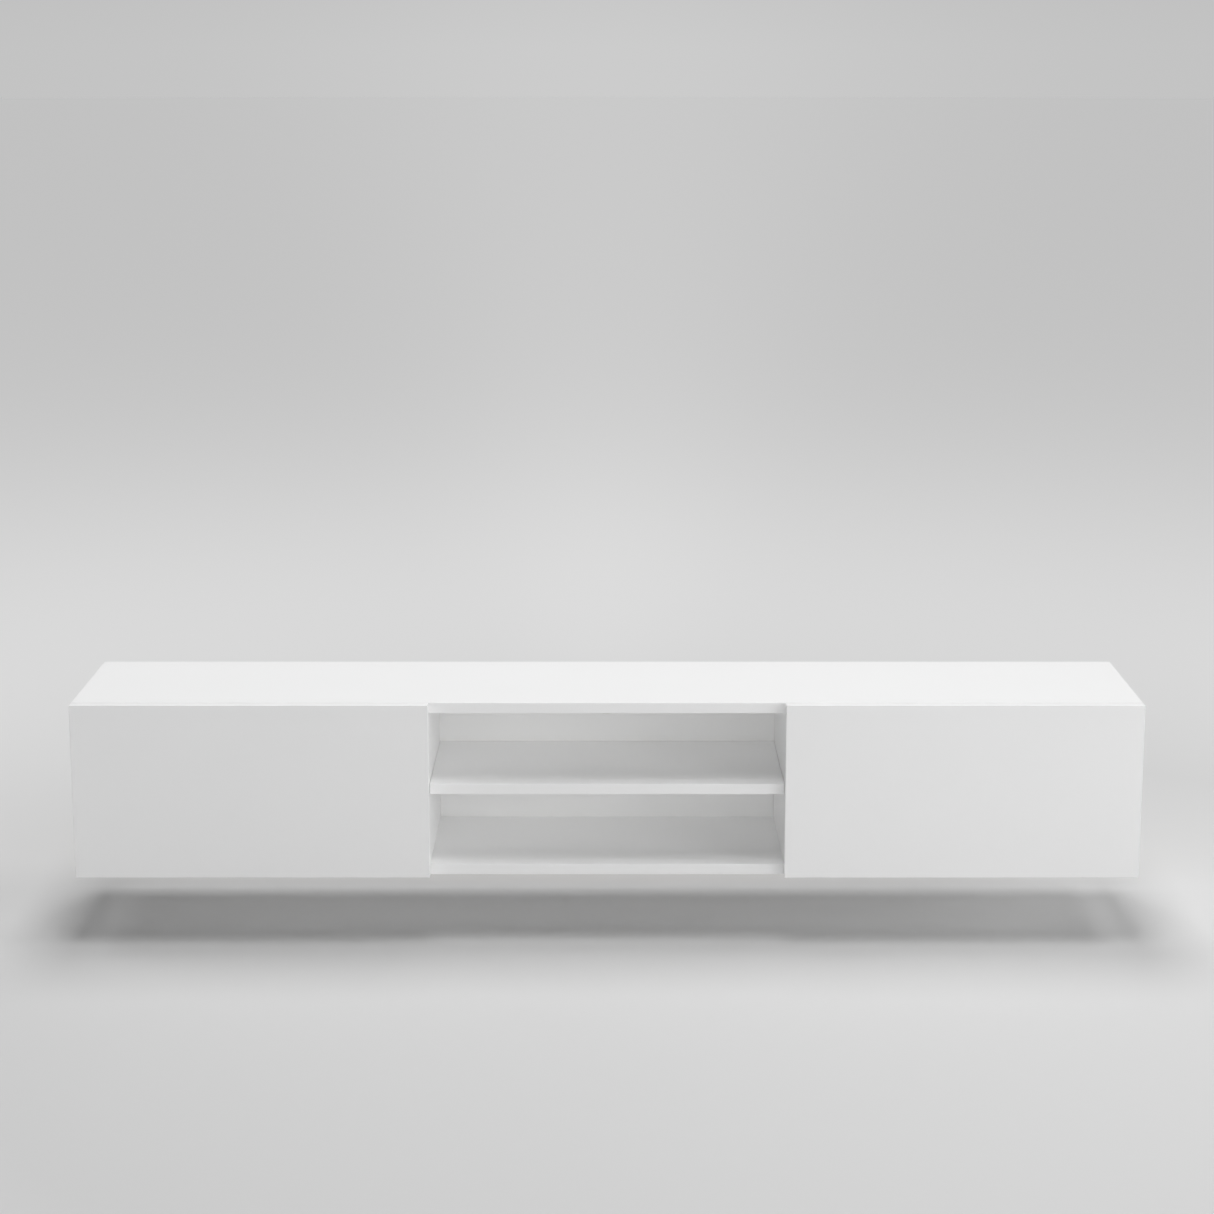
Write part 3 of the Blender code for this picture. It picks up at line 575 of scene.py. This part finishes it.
def cloudy_finish(name, tones, spots_per_metre):
    """A material with soft clouds of shade and polished corners, still without its grain.

    tones are the clean colour, the colour of its duller clouds and that of its polished corners."""
    material, tree, shader = new_material(name)
    clean, dull, polished = tones
    place = add_node(tree, "ShaderNodeTexCoord").outputs["Object"]
    cloud = add_node(tree, "ShaderNodeTexNoise", inputs={"Scale": spots_per_metre, "Detail": 3.0},
                     links={"Vector": place})
    body = add_node(tree, "ShaderNodeMix", {"data_type": "RGBA"}, {6: linear(clean), 7: linear(dull)},
                    {0: cloud})
    colour = add_node(tree, "ShaderNodeMix", {"data_type": "RGBA"}, {7: linear(polished)},
                      {0: worn_edges(tree), 6: body.outputs[2]})
    feed(tree, shader, {"Base Color": colour.outputs[2]})
    return material, tree, shader, place, cloud


def add_grain(tree, shader, roughness, dulled_by, raised_by, strength, depth):
    """Let one pattern set the roughness between two values and another one the fine relief."""
    rough = add_node(tree, "ShaderNodeMapRange", inputs={"To Min": roughness[0], "To Max": roughness[1]},
                     links={"Value": dulled_by})
    relief = add_node(tree, "ShaderNodeBump", inputs={"Strength": strength, "Distance": depth},
                      links={"Height": raised_by})
    feed(tree, shader, {"Roughness": rough, "Normal": relief})


def moulded_finish(name, tones, roughness, grain):
    """Moulded plastic: an even colour with a fine spark-eroded grain and slightly polished corners."""
    material, tree, shader, place, flow = cloudy_finish(name, tones, FLOW_MARKS_PER_METRE)
    spark = add_node(tree, "ShaderNodeTexNoise", inputs={"Scale": 1 / grain, "Detail": 2.0},
                     links={"Vector": place})
    add_grain(tree, shader, roughness, flow, spark, strength=0.3, depth=0.00005)
    shader.inputs["IOR"].default_value = PLASTIC_IOR
    return material


def fit_piece(name, mesh, body, finish, *stands_for):
    """Add a piece that rides on a body and may stand for CAD nodes.

    A finish is a material and the name of the slot that it belongs to; the slot's name is not used."""
    material, slot = finish
    mesh.name = name
    mesh.materials.clear()
    mesh.materials.append(material)
    piece = link_object(name, mesh)
    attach(piece, body)
    if stands_for:
        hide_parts(*stands_for)


WHITE_ABS_TONES = ("#f1f1ee", "#e7e7e3", "#f6f6f4")
white_abs = (moulded_finish("moulded white ABS", WHITE_ABS_TONES, (0.38, 0.50), 0.0005), "white_plastic")
ring_low, ring_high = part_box("cable_grommet")
lip = (ring_high.x - ring_low.x) / 2
tube = lip - LIP_WIDTH
bore = tube - TUBE_WALL
ring_depth = ring_high.y - ring_low.y
middle = Vector(((ring_low.x + ring_high.x) / 2, (ring_low.z + ring_high.z) / 2))
ring_profile = eased([(bore, 0.0), (lip, 0.0), (lip, LIP_THICKNESS), (tube, LIP_THICKNESS),
                      (tube, ring_depth), (bore, ring_depth)], RING_EASE)
ring = turned(ring_profile, (0, 1, 0), (middle.x, ring_low.y, middle.y), RING_SIDES, True)
catch_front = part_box("centre_back_panel")[1].y + CATCH_SPACE
catches = []
for step in range(4):
    angle = math.radians(45 + 90 * step)
    out = Vector((math.cos(angle), math.sin(angle)))
    across = Vector((-out.y, out.x)) * CATCH_WIDTH / 2
    near = middle + out * (tube - CATCH_ROOT)
    far = middle + out * (tube + CATCH_REACH)
    corners = [tuple(spot) for spot in (near - across, far - across, far + across, near + across)]
    catches.append(("UNION", prism(corners, catch_front, catch_front + CATCH_THICKNESS, "Y", CATCH_EDGE)))
fit_piece("cable_outlet_ring", shaped(ring, catches), "carcass", white_abs, "cable_grommet")

# --- Shelf pins -------------------------------------------
# Four turned steel pins, nickel plated, pushed into bores in the partitions; the shelf rests on
# their collars. Plating looks warm and bright, with fine turning marks and dull rubbed rims.
PIN_RADIUS = 0.0025
PIN_EASE = 0.0006
COLLAR_RADIUS = 0.0040
COLLAR_LENGTH = 0.0087
PLATING_CLOUDS_PER_METRE = 90.0
LINE_SQUEEZE = 0.06             # drawn lines are this much narrower than long


def plated_finish(name, tones, roughness, line_width):
    """Plated steel: mirror-like metal with fine drawn lines, small tone shifts and rubbed corners."""
    material, tree, shader, place, cloud = cloudy_finish(name, tones, PLATING_CLOUDS_PER_METRE)
    drawn = add_node(tree, "ShaderNodeMapping", inputs={"Scale": (LINE_SQUEEZE, 1.0, 1.0)},
                     links={"Vector": place})
    lines = add_node(tree, "ShaderNodeTexNoise",
                     inputs={"Scale": 1 / line_width, "Detail": 4.0, "Roughness": 0.6},
                     links={"Vector": drawn})
    add_grain(tree, shader, roughness, lines, lines, strength=0.15, depth=0.00003)
    shader.inputs["Metallic"].default_value = 1.0
    return material


NICKEL_TONES = ("#d4cdc1", "#bdb6aa", "#e2ddd3")
nickel = (plated_finish("nickel-plated steel", NICKEL_TONES, (0.20, 0.34), 0.0003), "nickel_steel")
for number in (1, 2, 3, 4):
    low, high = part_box(f"shelf_pin_{number}")
    inward = 1 if low.x < 0 else -1
    wall_end = low.x if inward > 0 else high.x
    length = high.x - low.x
    collar_start = length - COLLAR_LENGTH
    profile = eased([(0, 0.0), (PIN_RADIUS, 0.0), (PIN_RADIUS, collar_start), (COLLAR_RADIUS, collar_start),
                     (COLLAR_RADIUS, length), (0, length)], PIN_EASE, closed=False)
    pin = turned(profile, (inward, 0, 0), (wall_end, (low.y + high.y) / 2, (low.z + high.z) / 2))
    fit_piece(f"shelf_support_pin_{number}", pin, "carcass", nickel, f"shelf_pin_{number}")

# --- Screws and cam locks ---------------------------------
# Cross-head screws and 15 mm die-cast cam locks hold the boards and fittings together.
# The same head is set on every point of a list by Geometry Nodes, each with its own chance turn.
ZINC_TONES = ("#c6cacd", "#a9aeb3", "#dfe2e4")
CASTING_TONES = ("#b4b7ba", "#94989c", "#cfd2d4")
zinc_plated = (plated_finish("zinc-plated pressed steel", ZINC_TONES, (0.30, 0.46), 0.0005), "zinc_steel")
die_cast = (plated_finish("tumbled zinc die casting", CASTING_TONES, (0.42, 0.58), 0.0009), "zinc_steel")


def head_mesh(heights, recess, sides=16):
    """A round head one metre wide, facing +Z, with a cross recess; heights are rim, crown and floor."""
    rim, crown, floor_height = heights
    shape = bmesh.new()

    def ring(radius, height, cross):
        spots = []
        for step in range(sides):
            angle = step * math.tau / sides
            from_arm = abs((math.degrees(angle) + 45) % 90 - 45)
            narrow = 1.0 if from_arm < 10 else 0.42 if from_arm < 30 else 0.30
            reach = radius * (narrow if cross else 1.0)
            spots.append(shape.verts.new((reach * math.cos(angle), reach * math.sin(angle), height)))
        return spots
    rings = [ring(0.50, -0.05, False), ring(0.50, rim * 0.6, False), ring(0.46, rim, False),
             ring(0.36, crown, False), ring(recess, crown, True), ring(recess * 0.7, floor_height, True)]
    for first, second in zip(rings, rings[1:]):
        for step in range(sides):
            after = (step + 1) % sides
            shape.faces.new([first[step], first[after], second[after], second[step]])
    shape.faces.new(rings[-1])
    shape.faces.new(rings[0])
    return finished(shape)


def fastener_setter():
    """Nodes that put a copy of a fastener on every point and turn it to face the point's way."""
    tree = bpy.data.node_groups.new("set fasteners", "GeometryNodeTree")
    for name, kind in (("Points", "Geometry"), ("Fastener", "Object"), ("Width", "Float"),
                       ("Turn Seed", "Int"), ("Finish", "Material")):
        tree.interface.new_socket(name, in_out="INPUT", socket_type=f"NodeSocket{kind}")
    tree.interface.new_socket("Fasteners", in_out="OUTPUT", socket_type="NodeSocketGeometry")
    given = add_node(tree, "NodeGroupInput").outputs
    pattern = add_node(tree, "GeometryNodeObjectInfo", links={"Object": given["Fastener"]})
    facing = add_node(tree, "GeometryNodeInputNamedAttribute", {"data_type": "FLOAT_VECTOR"},
                      {"Name": "facing"})
    aimed = add_node(tree, "FunctionNodeAlignRotationToVector", {"axis": "Z"}, links={"Vector": facing})
    chance = add_node(tree, "FunctionNodeRandomValue", {"data_type": "FLOAT"}, {3: math.tau},
                      {"Seed": given["Turn Seed"]})
    about = add_node(tree, "ShaderNodeCombineXYZ", links={"Z": chance.outputs[1]})
    turn = add_node(tree, "FunctionNodeEulerToRotation", links={0: about})
    turned_way = add_node(tree, "FunctionNodeRotateRotation", {"rotation_space": "LOCAL"},
                          links={0: aimed, 1: turn})
    copies = add_node(tree, "GeometryNodeInstanceOnPoints",
                      links={"Points": given["Points"], "Instance": pattern.outputs["Geometry"],
                             "Rotation": turned_way, "Scale": given["Width"]})
    real = add_node(tree, "GeometryNodeRealizeInstances", links={0: copies})
    coloured = add_node(tree, "GeometryNodeSetMaterial",
                        links={"Geometry": real, "Material": given["Finish"]})
    add_node(tree, "NodeGroupOutput", links={0: coloured})
    return tree


setter = fastener_setter()


def set_fasteners(name, body, pattern, width, finish, spots, seed):
    """Fasteners at (place, facing) spots, as one piece that rides on a body."""
    points = bpy.data.meshes.new(name + "_points")
    points.from_pydata([place for place, facing in spots], [], [])
    ways = points.attributes.new("facing", "FLOAT_VECTOR", "POINT")
    for number, (place, facing) in enumerate(spots):
        ways.data[number].vector = facing
    carrier = link_object(name + "_points", points)
    sample = link_object(name + "_sample", pattern)
    change = carrier.modifiers.new("fasteners", "NODES")
    change.node_group = setter
    values = {"Fastener": sample, "Width": width, "Turn Seed": seed, "Finish": finish[0]}
    for socket in setter.interface.items_tree:
        if socket.in_out == "INPUT" and socket.name in values:
            change[socket.identifier] = values[socket.name]
    mesh = made_plain(carrier)
    bpy.data.objects.remove(sample, do_unlink=True)
    fit_piece(name, mesh, body, finish)


pan_head = head_mesh((0.16, 0.28, 0.08), 0.26)
flat_head = head_mesh((0.05, 0.07, -0.10), 0.28)
cam_head = head_mesh((0.012, 0.02, -0.04), 0.24)

CAM_WIDTH = 0.015
CAM_FROM_BOARD_END = 0.024
CAM_DEPTHS = (-0.060, -0.205)   # behind the front fittings and before the back board's groove
end_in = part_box("right_end_panel")[0].x
partition_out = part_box("right_partition")[1].x
ceiling_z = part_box("top_panel")[0].z
base_inner_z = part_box("bottom_panel")[1].z
cam_spots = []
for sign in (-1, 1):
    for wall, inward in ((end_in, -1), (partition_out, 1)):
        for y in CAM_DEPTHS:
            for z in (ceiling_z - CAM_FROM_BOARD_END, base_inner_z + CAM_FROM_BOARD_END):
                cam_spots.append(((sign * wall, y, z), (sign * inward, 0, 0)))
set_fasteners("cam_locks", "carcass", cam_head, CAM_WIDTH, die_cast, cam_spots, 3)

# --- Wall rails -------------------------------------------
# Two galvanised steel strips are screwed to the wall, joggled along the top to a standing lip.
# They are pressed with oblong slots, so that the screws can be set to the wall.
RAIL_STRIP = 0.002
RAIL_LIP = 0.014
RAIL_BEND = 0.0007
SLOT_PITCH = 0.046
SLOT_LENGTH = 0.016
SLOT_HEIGHT = 0.006
SLOT_ABOVE_EDGE = 0.014
SLOT_CUT = 0.01                 # how far the punch passes the strip on each side
RAIL_SCREW_WIDTH = 0.0105


def oblong(centre, length, height, steps=8):
    """The outline of a slot with round ends."""
    outline = []
    for side, start in ((1, -math.pi / 2), (-1, math.pi / 2)):
        for step in range(steps + 1):
            angle = start + step * math.pi / steps
            outline.append((centre[0] + side * (length - height) / 2 + height / 2 * math.cos(angle),
                            centre[1] + height / 2 * math.sin(angle)))
    return outline


for side in ("left", "right"):
    low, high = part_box(f"{side}_wall_rail")
    fold = high.z - RAIL_LIP
    lip_rear = low.y + RAIL_STRIP
    outline = eased([(0, low.z), (0, fold), (lip_rear, fold), (lip_rear, high.z), (low.y, high.z),
                     (low.y, fold - RAIL_STRIP), (-RAIL_STRIP, fold - RAIL_STRIP), (-RAIL_STRIP, low.z)],
                    RAIL_BEND)
    strip = prism(outline, low.x, high.x, "X")
    slot_z = low.z + SLOT_ABOVE_EDGE
    slots = [(low.x + high.x) / 2 + step * SLOT_PITCH for step in range(-5, 6)]
    cuts = [("DIFFERENCE", prism(oblong((x, slot_z), SLOT_LENGTH, SLOT_HEIGHT), -SLOT_CUT, SLOT_CUT, "Y"))
            for x in slots]
    fit_piece(f"{side}_slotted_rail", shaped(strip, cuts), "carcass", zinc_plated, f"{side}_wall_rail")
    heads = [((x, -RAIL_STRIP, slot_z), (0, -1, 0)) for x in (slots[0], slots[5], slots[10])]
    set_fasteners(f"{side}_rail_screws", "carcass", pan_head, RAIL_SCREW_WIDTH, zinc_plated, heads, 5)

# --- Cabinet hangers --------------------------------------
# Four pressed-steel hangers sit behind the backs, each riveted together and dowelled to an upright,
# with a steel hook over the rail. Two screws set its height and depth, under a snap-in ABS cap.
HOOK_EDGE = 0.0004
RIVET_ASIDE = 0.0105
RIVET_FROM_END = 0.008
RIVET_WIDTH = 0.006
CAP_LIP_WIDTH = 0.0033
CAP_LIP_THICKNESS = 0.0015


def softened(node, width):
    """A CAD node's own shape with its sharp corners rounded, as a fresh closed mesh."""
    shape = bmesh.new()
    shape.from_mesh(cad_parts[node].data)
    bmesh.ops.remove_doubles(shape, verts=shape.verts, dist=JOIN_DISTANCE)
    bmesh.ops.dissolve_limit(shape, angle_limit=math.radians(1), verts=shape.verts, edges=shape.edges)
    bevelled(shape, width, 50)
    return finished(shape)


for number in (1, 2, 3, 4):
    hanger = f"hanger_{number}"
    low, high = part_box(f"{hanger}_body")
    paint_nodes((f"{hanger}_body",), zinc_plated[0])
    fit_piece(f"{hanger}_bent_hook", softened(f"{hanger}_hook", HOOK_EDGE), "carcass", zinc_plated,
              f"{hanger}_hook")
    rivets = [(((low.x + high.x) / 2 + way * RIVET_ASIDE, high.y, z), (0, 1, 0))
              for way in (-1, 1) for z in (low.z + RIVET_FROM_END, high.z - RIVET_FROM_END)]
    set_fasteners(f"{hanger}_rivets", "carcass", pan_head, RIVET_WIDTH, die_cast, rivets, number)
    low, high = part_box(f"{hanger}_cover")
    radius = (high.x - low.x) / 2
    stub = radius - CAP_LIP_WIDTH
    depth = high.y - low.y
    profile = [(0, 0.0006), (radius - 0.0045, 0.0006), (radius - 0.0035, 0.0), (radius - 0.0008, 0.0002),
               (radius, 0.0009), (radius, CAP_LIP_THICKNESS), (stub, CAP_LIP_THICKNESS),
               (stub, depth - 0.0005), (stub - 0.0004, depth), (0, depth)]
    cap = turned(profile, (0, 1, 0), ((low.x + high.x) / 2, low.y, (low.z + high.z) / 2))
    fit_piece(f"{hanger}_cap", cap, "carcass", white_abs, f"{hanger}_cover")

# --- Concealed hinges -------------------------------------
# Two cup hinges per flap, pressed from nickel-plated steel: the cup is let into the flap, the
# cross-shaped plate is screwed to the bottom board, and the arm clips on it with two setting screws.
CUP_RADIUS = 0.0172
CUP_WALL = 0.0010
CUP_EASE = 0.0025
HOLLOW_EASE = 0.0020
HOLLOW_CUT = 0.01               # how far the hollow passes the rim
FLANGE_THICKNESS = 0.0012
FLANGE_CORNER = 0.007
FLANGE_EDGE = 0.0003
CUP_SCREW_REACH = 0.0215
CUP_SCREW_ABOVE = 0.0055        # above the cup's middle
CUP_SCREW_WIDTH = 0.0070
AXLE_RADIUS = 0.0015
AXLE_FROM_FLOOR = 0.0036
AXLE_ABOVE = 0.0045
AXLE_IN_WALL = 0.0003
AXLE_SIDES = 20
WING_RISE = 0.6                 # the wings' share of the plate's height
WING_CORNER = 0.0045
SPINE_CORNER = 0.002
SPINE_EDGE = 0.0004
ARM_EDGE = 0.0008
PLATE_SCREW_REACH = 0.0180
PLATE_SCREW_WIDTH = 0.0072
SIDE_SCREW_FROM_NOSE = 0.029
DEPTH_SCREW_FROM_TAIL = 0.010
SIDE_SCREW_SUNK = 0.0002
DEPTH_SCREW_SUNK = 0.0022
TAIL_SLOPE = (0, 0.19, 0.98)    # the way that the arm's tail faces

for side in ("left", "right"):
    cup_screws = []
    plate_screws = []
    for number in (1, 2):
        hinge = f"{side}_hinge_{number}"
        low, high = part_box(f"{hinge}_cup")
        x = (low.x + high.x) / 2
        cup_z = low.z + CUP_RADIUS
        depth = high.y - low.y
        inner = CUP_RADIUS - CUP_WALL
        outline = eased(rectangle(low.x, high.x, low.z, high.z), FLANGE_CORNER, steps=6)
        flange = prism(outline, high.y - FLANGE_THICKNESS, high.y, "Y", FLANGE_EDGE)
        bowl = turned(eased(rod_profile(CUP_RADIUS, 0, depth), CUP_EASE, closed=False), (0, 1, 0),
                      (x, low.y, cup_z))
        hollow = turned(eased(rod_profile(inner, CUP_WALL, depth + HOLLOW_CUT), HOLLOW_EASE, closed=False),
                        (0, 1, 0), (x, low.y, cup_z))
        axle_end = inner + AXLE_IN_WALL
        axle = turned(rod_profile(AXLE_RADIUS, -axle_end, axle_end), (1, 0, 0),
                      (x, low.y + AXLE_FROM_FLOOR, cup_z + AXLE_ABOVE), AXLE_SIDES)
        cup = shaped(flange, [("UNION", bowl), ("DIFFERENCE", hollow), ("UNION", axle)])
        fit_piece(f"{hinge}_pressed_cup", cup, f"{side}_flap", nickel, f"{hinge}_cup")
        cup_screws += [((x + way * CUP_SCREW_REACH, high.y, cup_z + CUP_SCREW_ABOVE), (0, 1, 0))
                       for way in (-1, 1)]

        low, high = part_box(f"{hinge}_plate")
        middle_y = (low.y + high.y) / 2
        half_wing = (high.y - low.y) / 6
        wing_top = low.z + (high.z - low.z) * WING_RISE
        spine = (high.x - low.x) / 6
        wing_outline = rectangle(low.x, high.x, middle_y - half_wing, middle_y + half_wing)
        wings = prism(eased(wing_outline, WING_CORNER, steps=5), low.z, wing_top, "Z", FLANGE_EDGE)
        spine_outline = rectangle(x - spine, x + spine, low.y, high.y)
        back = prism(eased(spine_outline, SPINE_CORNER), low.z, high.z, "Z", SPINE_EDGE)
        fit_piece(f"{hinge}_cross_plate", shaped(wings, [("UNION", back)]), "carcass", nickel,
                  f"{hinge}_plate")
        plate_screws += [((x + way * PLATE_SCREW_REACH, middle_y, wing_top), (0, 0, 1)) for way in (-1, 1)]

        low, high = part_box(f"{hinge}_arm")
        fit_piece(f"{hinge}_channel_arm", softened(f"{hinge}_arm", ARM_EDGE), "carcass", nickel,
                  f"{hinge}_arm")
        plate_screws += [((x, low.y + SIDE_SCREW_FROM_NOSE, high.z - SIDE_SCREW_SUNK), (0, 0, 1)),
                         ((x, high.y - DEPTH_SCREW_FROM_TAIL, high.z - DEPTH_SCREW_SUNK), TAIL_SLOPE)]
    set_fasteners(f"{side}_cup_screws", f"{side}_flap", flat_head, CUP_SCREW_WIDTH, nickel, cup_screws, 7)
    set_fasteners(f"{side}_plate_screws", "carcass", flat_head, PLATE_SCREW_WIDTH, nickel, plate_screws, 11)

# --- Flap stays -------------------------------------------
# A stay beside each outer end holds the open flap level: a nylon housing with a spring inside,
# and a pressed-steel arm, link and bracket riveted together, nickel plated.
HOUSING_TO_FACE = 0.0023        # the end of the housing's pin to its face
HOUSING_EDGE = 0.0006
HOUSING_SCREW_INSET = 0.006
HOUSING_SCREW_WIDTH = 0.0065
RIB_LENGTH = 0.030
RIB_WIDTH = 0.0018
RIB_PITCH = 0.0045
RIB_FROM_EDGE = 0.008
RIB_BEHIND_MIDDLE = 0.012
RIB_ROOT = 0.0006
RIB_PROUD = 0.0020
STRIP_EDGE = 0.00025
STRIP_THICKNESS = 0.002
STRIP_END = 0.007               # the strip's end to its pin
PIN_HEAD_RADIUS = 0.0045
PIN_HEAD_HEIGHT = 0.0007
PIN_HEAD_EDGE = 0.0003
PIN_HEAD_LIFT = 0.00005         # keeps the head's underside clear of the strip's face
FOOT_SCREW_ASIDE = 0.006
FOOT_SCREW_INSET = 0.006
FOOT_SCREW_WIDTH = 0.0060
NYLON_TONES = ("#74777a", "#696c70", "#83868a")
nylon = (moulded_finish("glass-filled grey nylon", NYLON_TONES, (0.46, 0.60), 0.0006), "grey_plastic")

for side, sign in (("left", -1), ("right", 1)):
    low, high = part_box(f"{side}_stay_housing")
    inner_face = min(abs(low.x), abs(high.x)) + HOUSING_TO_FACE
    rib_y = (low.y + high.y) / 2 + RIB_BEHIND_MIDDLE
    ribs = []
    for step in range(3):
        rib = oblong((rib_y, low.z + RIB_FROM_EDGE + step * RIB_PITCH), RIB_LENGTH, RIB_WIDTH)
        rib = prism(rib, sign * (inner_face - RIB_ROOT), sign * (inner_face + RIB_PROUD), "X")
        ribs.append(("UNION", rib))
    casing = shaped(softened(f"{side}_stay_housing", HOUSING_EDGE), ribs)
    fit_piece(f"{side}_stay_casing", casing, "carcass", nylon, f"{side}_stay_housing")
    spots = [((sign * inner_face, high.y - HOUSING_SCREW_INSET, z), (-sign, 0, 0))
             for z in (low.z + HOUSING_SCREW_INSET, high.z - HOUSING_SCREW_INSET)]
    set_fasteners(f"{side}_housing_screws", "carcass", pan_head, HOUSING_SCREW_WIDTH, nickel, spots, 13)
    for node, body in ((f"{side}_stay_arm", f"{side}_stay_arm"), (f"{side}_stay_link", f"{side}_stay_link"),
                       (f"{side}_stay_bracket", f"{side}_flap")):
        fit_piece(f"{node}_pressing", softened(node, STRIP_EDGE), body, nickel, node)
    low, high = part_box(f"{side}_stay_arm")
    pin_end = min(abs(low.x), abs(high.x))
    arm_face = max(abs(low.x), abs(high.x)) - STRIP_THICKNESS
    pin_head = eased(rod_profile(PIN_HEAD_RADIUS, 0, PIN_HEAD_HEIGHT), PIN_HEAD_EDGE, closed=False)
    for name, body, face, y, z in (
            ("anchor", "carcass", arm_face, low.y + STRIP_END, low.z + STRIP_END),
            ("knee", f"{side}_stay_arm", pin_end, high.y - STRIP_END, high.z - STRIP_END)):
        rivet = turned(pin_head, (-sign, 0, 0), (sign * (face - PIN_HEAD_LIFT), y, z))
        fit_piece(f"{side}_{name}_rivet", rivet, body, nickel)
    low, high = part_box(f"{side}_stay_bracket")
    foot_x = sign * (min(abs(low.x), abs(high.x)) + FOOT_SCREW_ASIDE)
    spots = [((foot_x, low.y + STRIP_THICKNESS, z), (0, 1, 0))
             for z in (low.z + FOOT_SCREW_INSET, high.z - FOOT_SCREW_INSET)]
    set_fasteners(f"{side}_bracket_screws", f"{side}_flap", flat_head, FOOT_SCREW_WIDTH, nickel, spots, 17)

# --- Push latches -----------------------------------------
# A spring plunger in a nylon casing under the top board pushes the closed flap ajar.
# Its magnet tip meets a small zinc-plated plate screwed to the flap.
LATCH_EDGE = 0.0003
LATCH_SCREW_FROM_FRONT = 0.008
LATCH_SCREW_FROM_REAR = 0.006
LATCH_SCREW_WIDTH = 0.0055
TIP_LENGTH = 0.0070
TIP_GROOVE = (0.0005, 0.0010)   # depth and width of the groove behind the magnet tip
PLUNGER_EASE = 0.0004
STRIKE_CORNER = 0.0025
STRIKE_EDGE = 0.0002
STRIKE_SCREW_REACH = 0.0063
STRIKE_SCREW_WIDTH = 0.0034

for side in ("left", "right"):
    low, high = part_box(f"{side}_latch_body")
    x = (low.x + high.x) / 2
    fit_piece(f"{side}_latch_casing", softened(f"{side}_latch_body", LATCH_EDGE), "carcass", nylon,
              f"{side}_latch_body")
    spots = [((x, y, low.z), (0, 0, -1))
             for y in (low.y + LATCH_SCREW_FROM_FRONT, high.y - LATCH_SCREW_FROM_REAR)]
    set_fasteners(f"{side}_latch_screws", "carcass", flat_head, LATCH_SCREW_WIDTH, zinc_plated, spots, 19)
    low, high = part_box(f"{side}_latch_plunger")
    radius = (high.x - low.x) / 2
    length = high.y - low.y
    neck = radius - TIP_GROOVE[0]
    groove_end = TIP_LENGTH + TIP_GROOVE[1]
    profile = eased([(0, 0), (radius, 0), (radius, TIP_LENGTH), (neck, TIP_LENGTH), (neck, groove_end),
                     (radius, groove_end), (radius, length), (0, length)], PLUNGER_EASE, closed=False)
    plunger = turned(profile, (0, 1, 0), (x, low.y, (low.z + high.z) / 2))
    fit_piece(f"{side}_spring_plunger", plunger, f"{side}_latch_plunger", white_abs, f"{side}_latch_plunger")
    low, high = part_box(f"{side}_strike_plate")
    outline = eased(rectangle(low.x, high.x, low.z, high.z), STRIKE_CORNER, steps=5)
    spots = [((x + way * STRIKE_SCREW_REACH, high.y, (low.z + high.z) / 2), (0, 1, 0)) for way in (-1, 1)]
    set_fasteners(f"{side}_strike_screws", f"{side}_flap", flat_head, STRIKE_SCREW_WIDTH, zinc_plated,
                  spots, 23)
    fit_piece(f"{side}_strike_pressing", prism(outline, low.y, high.y, "Y", STRIKE_EDGE), f"{side}_flap",
              zinc_plated, f"{side}_strike_plate")
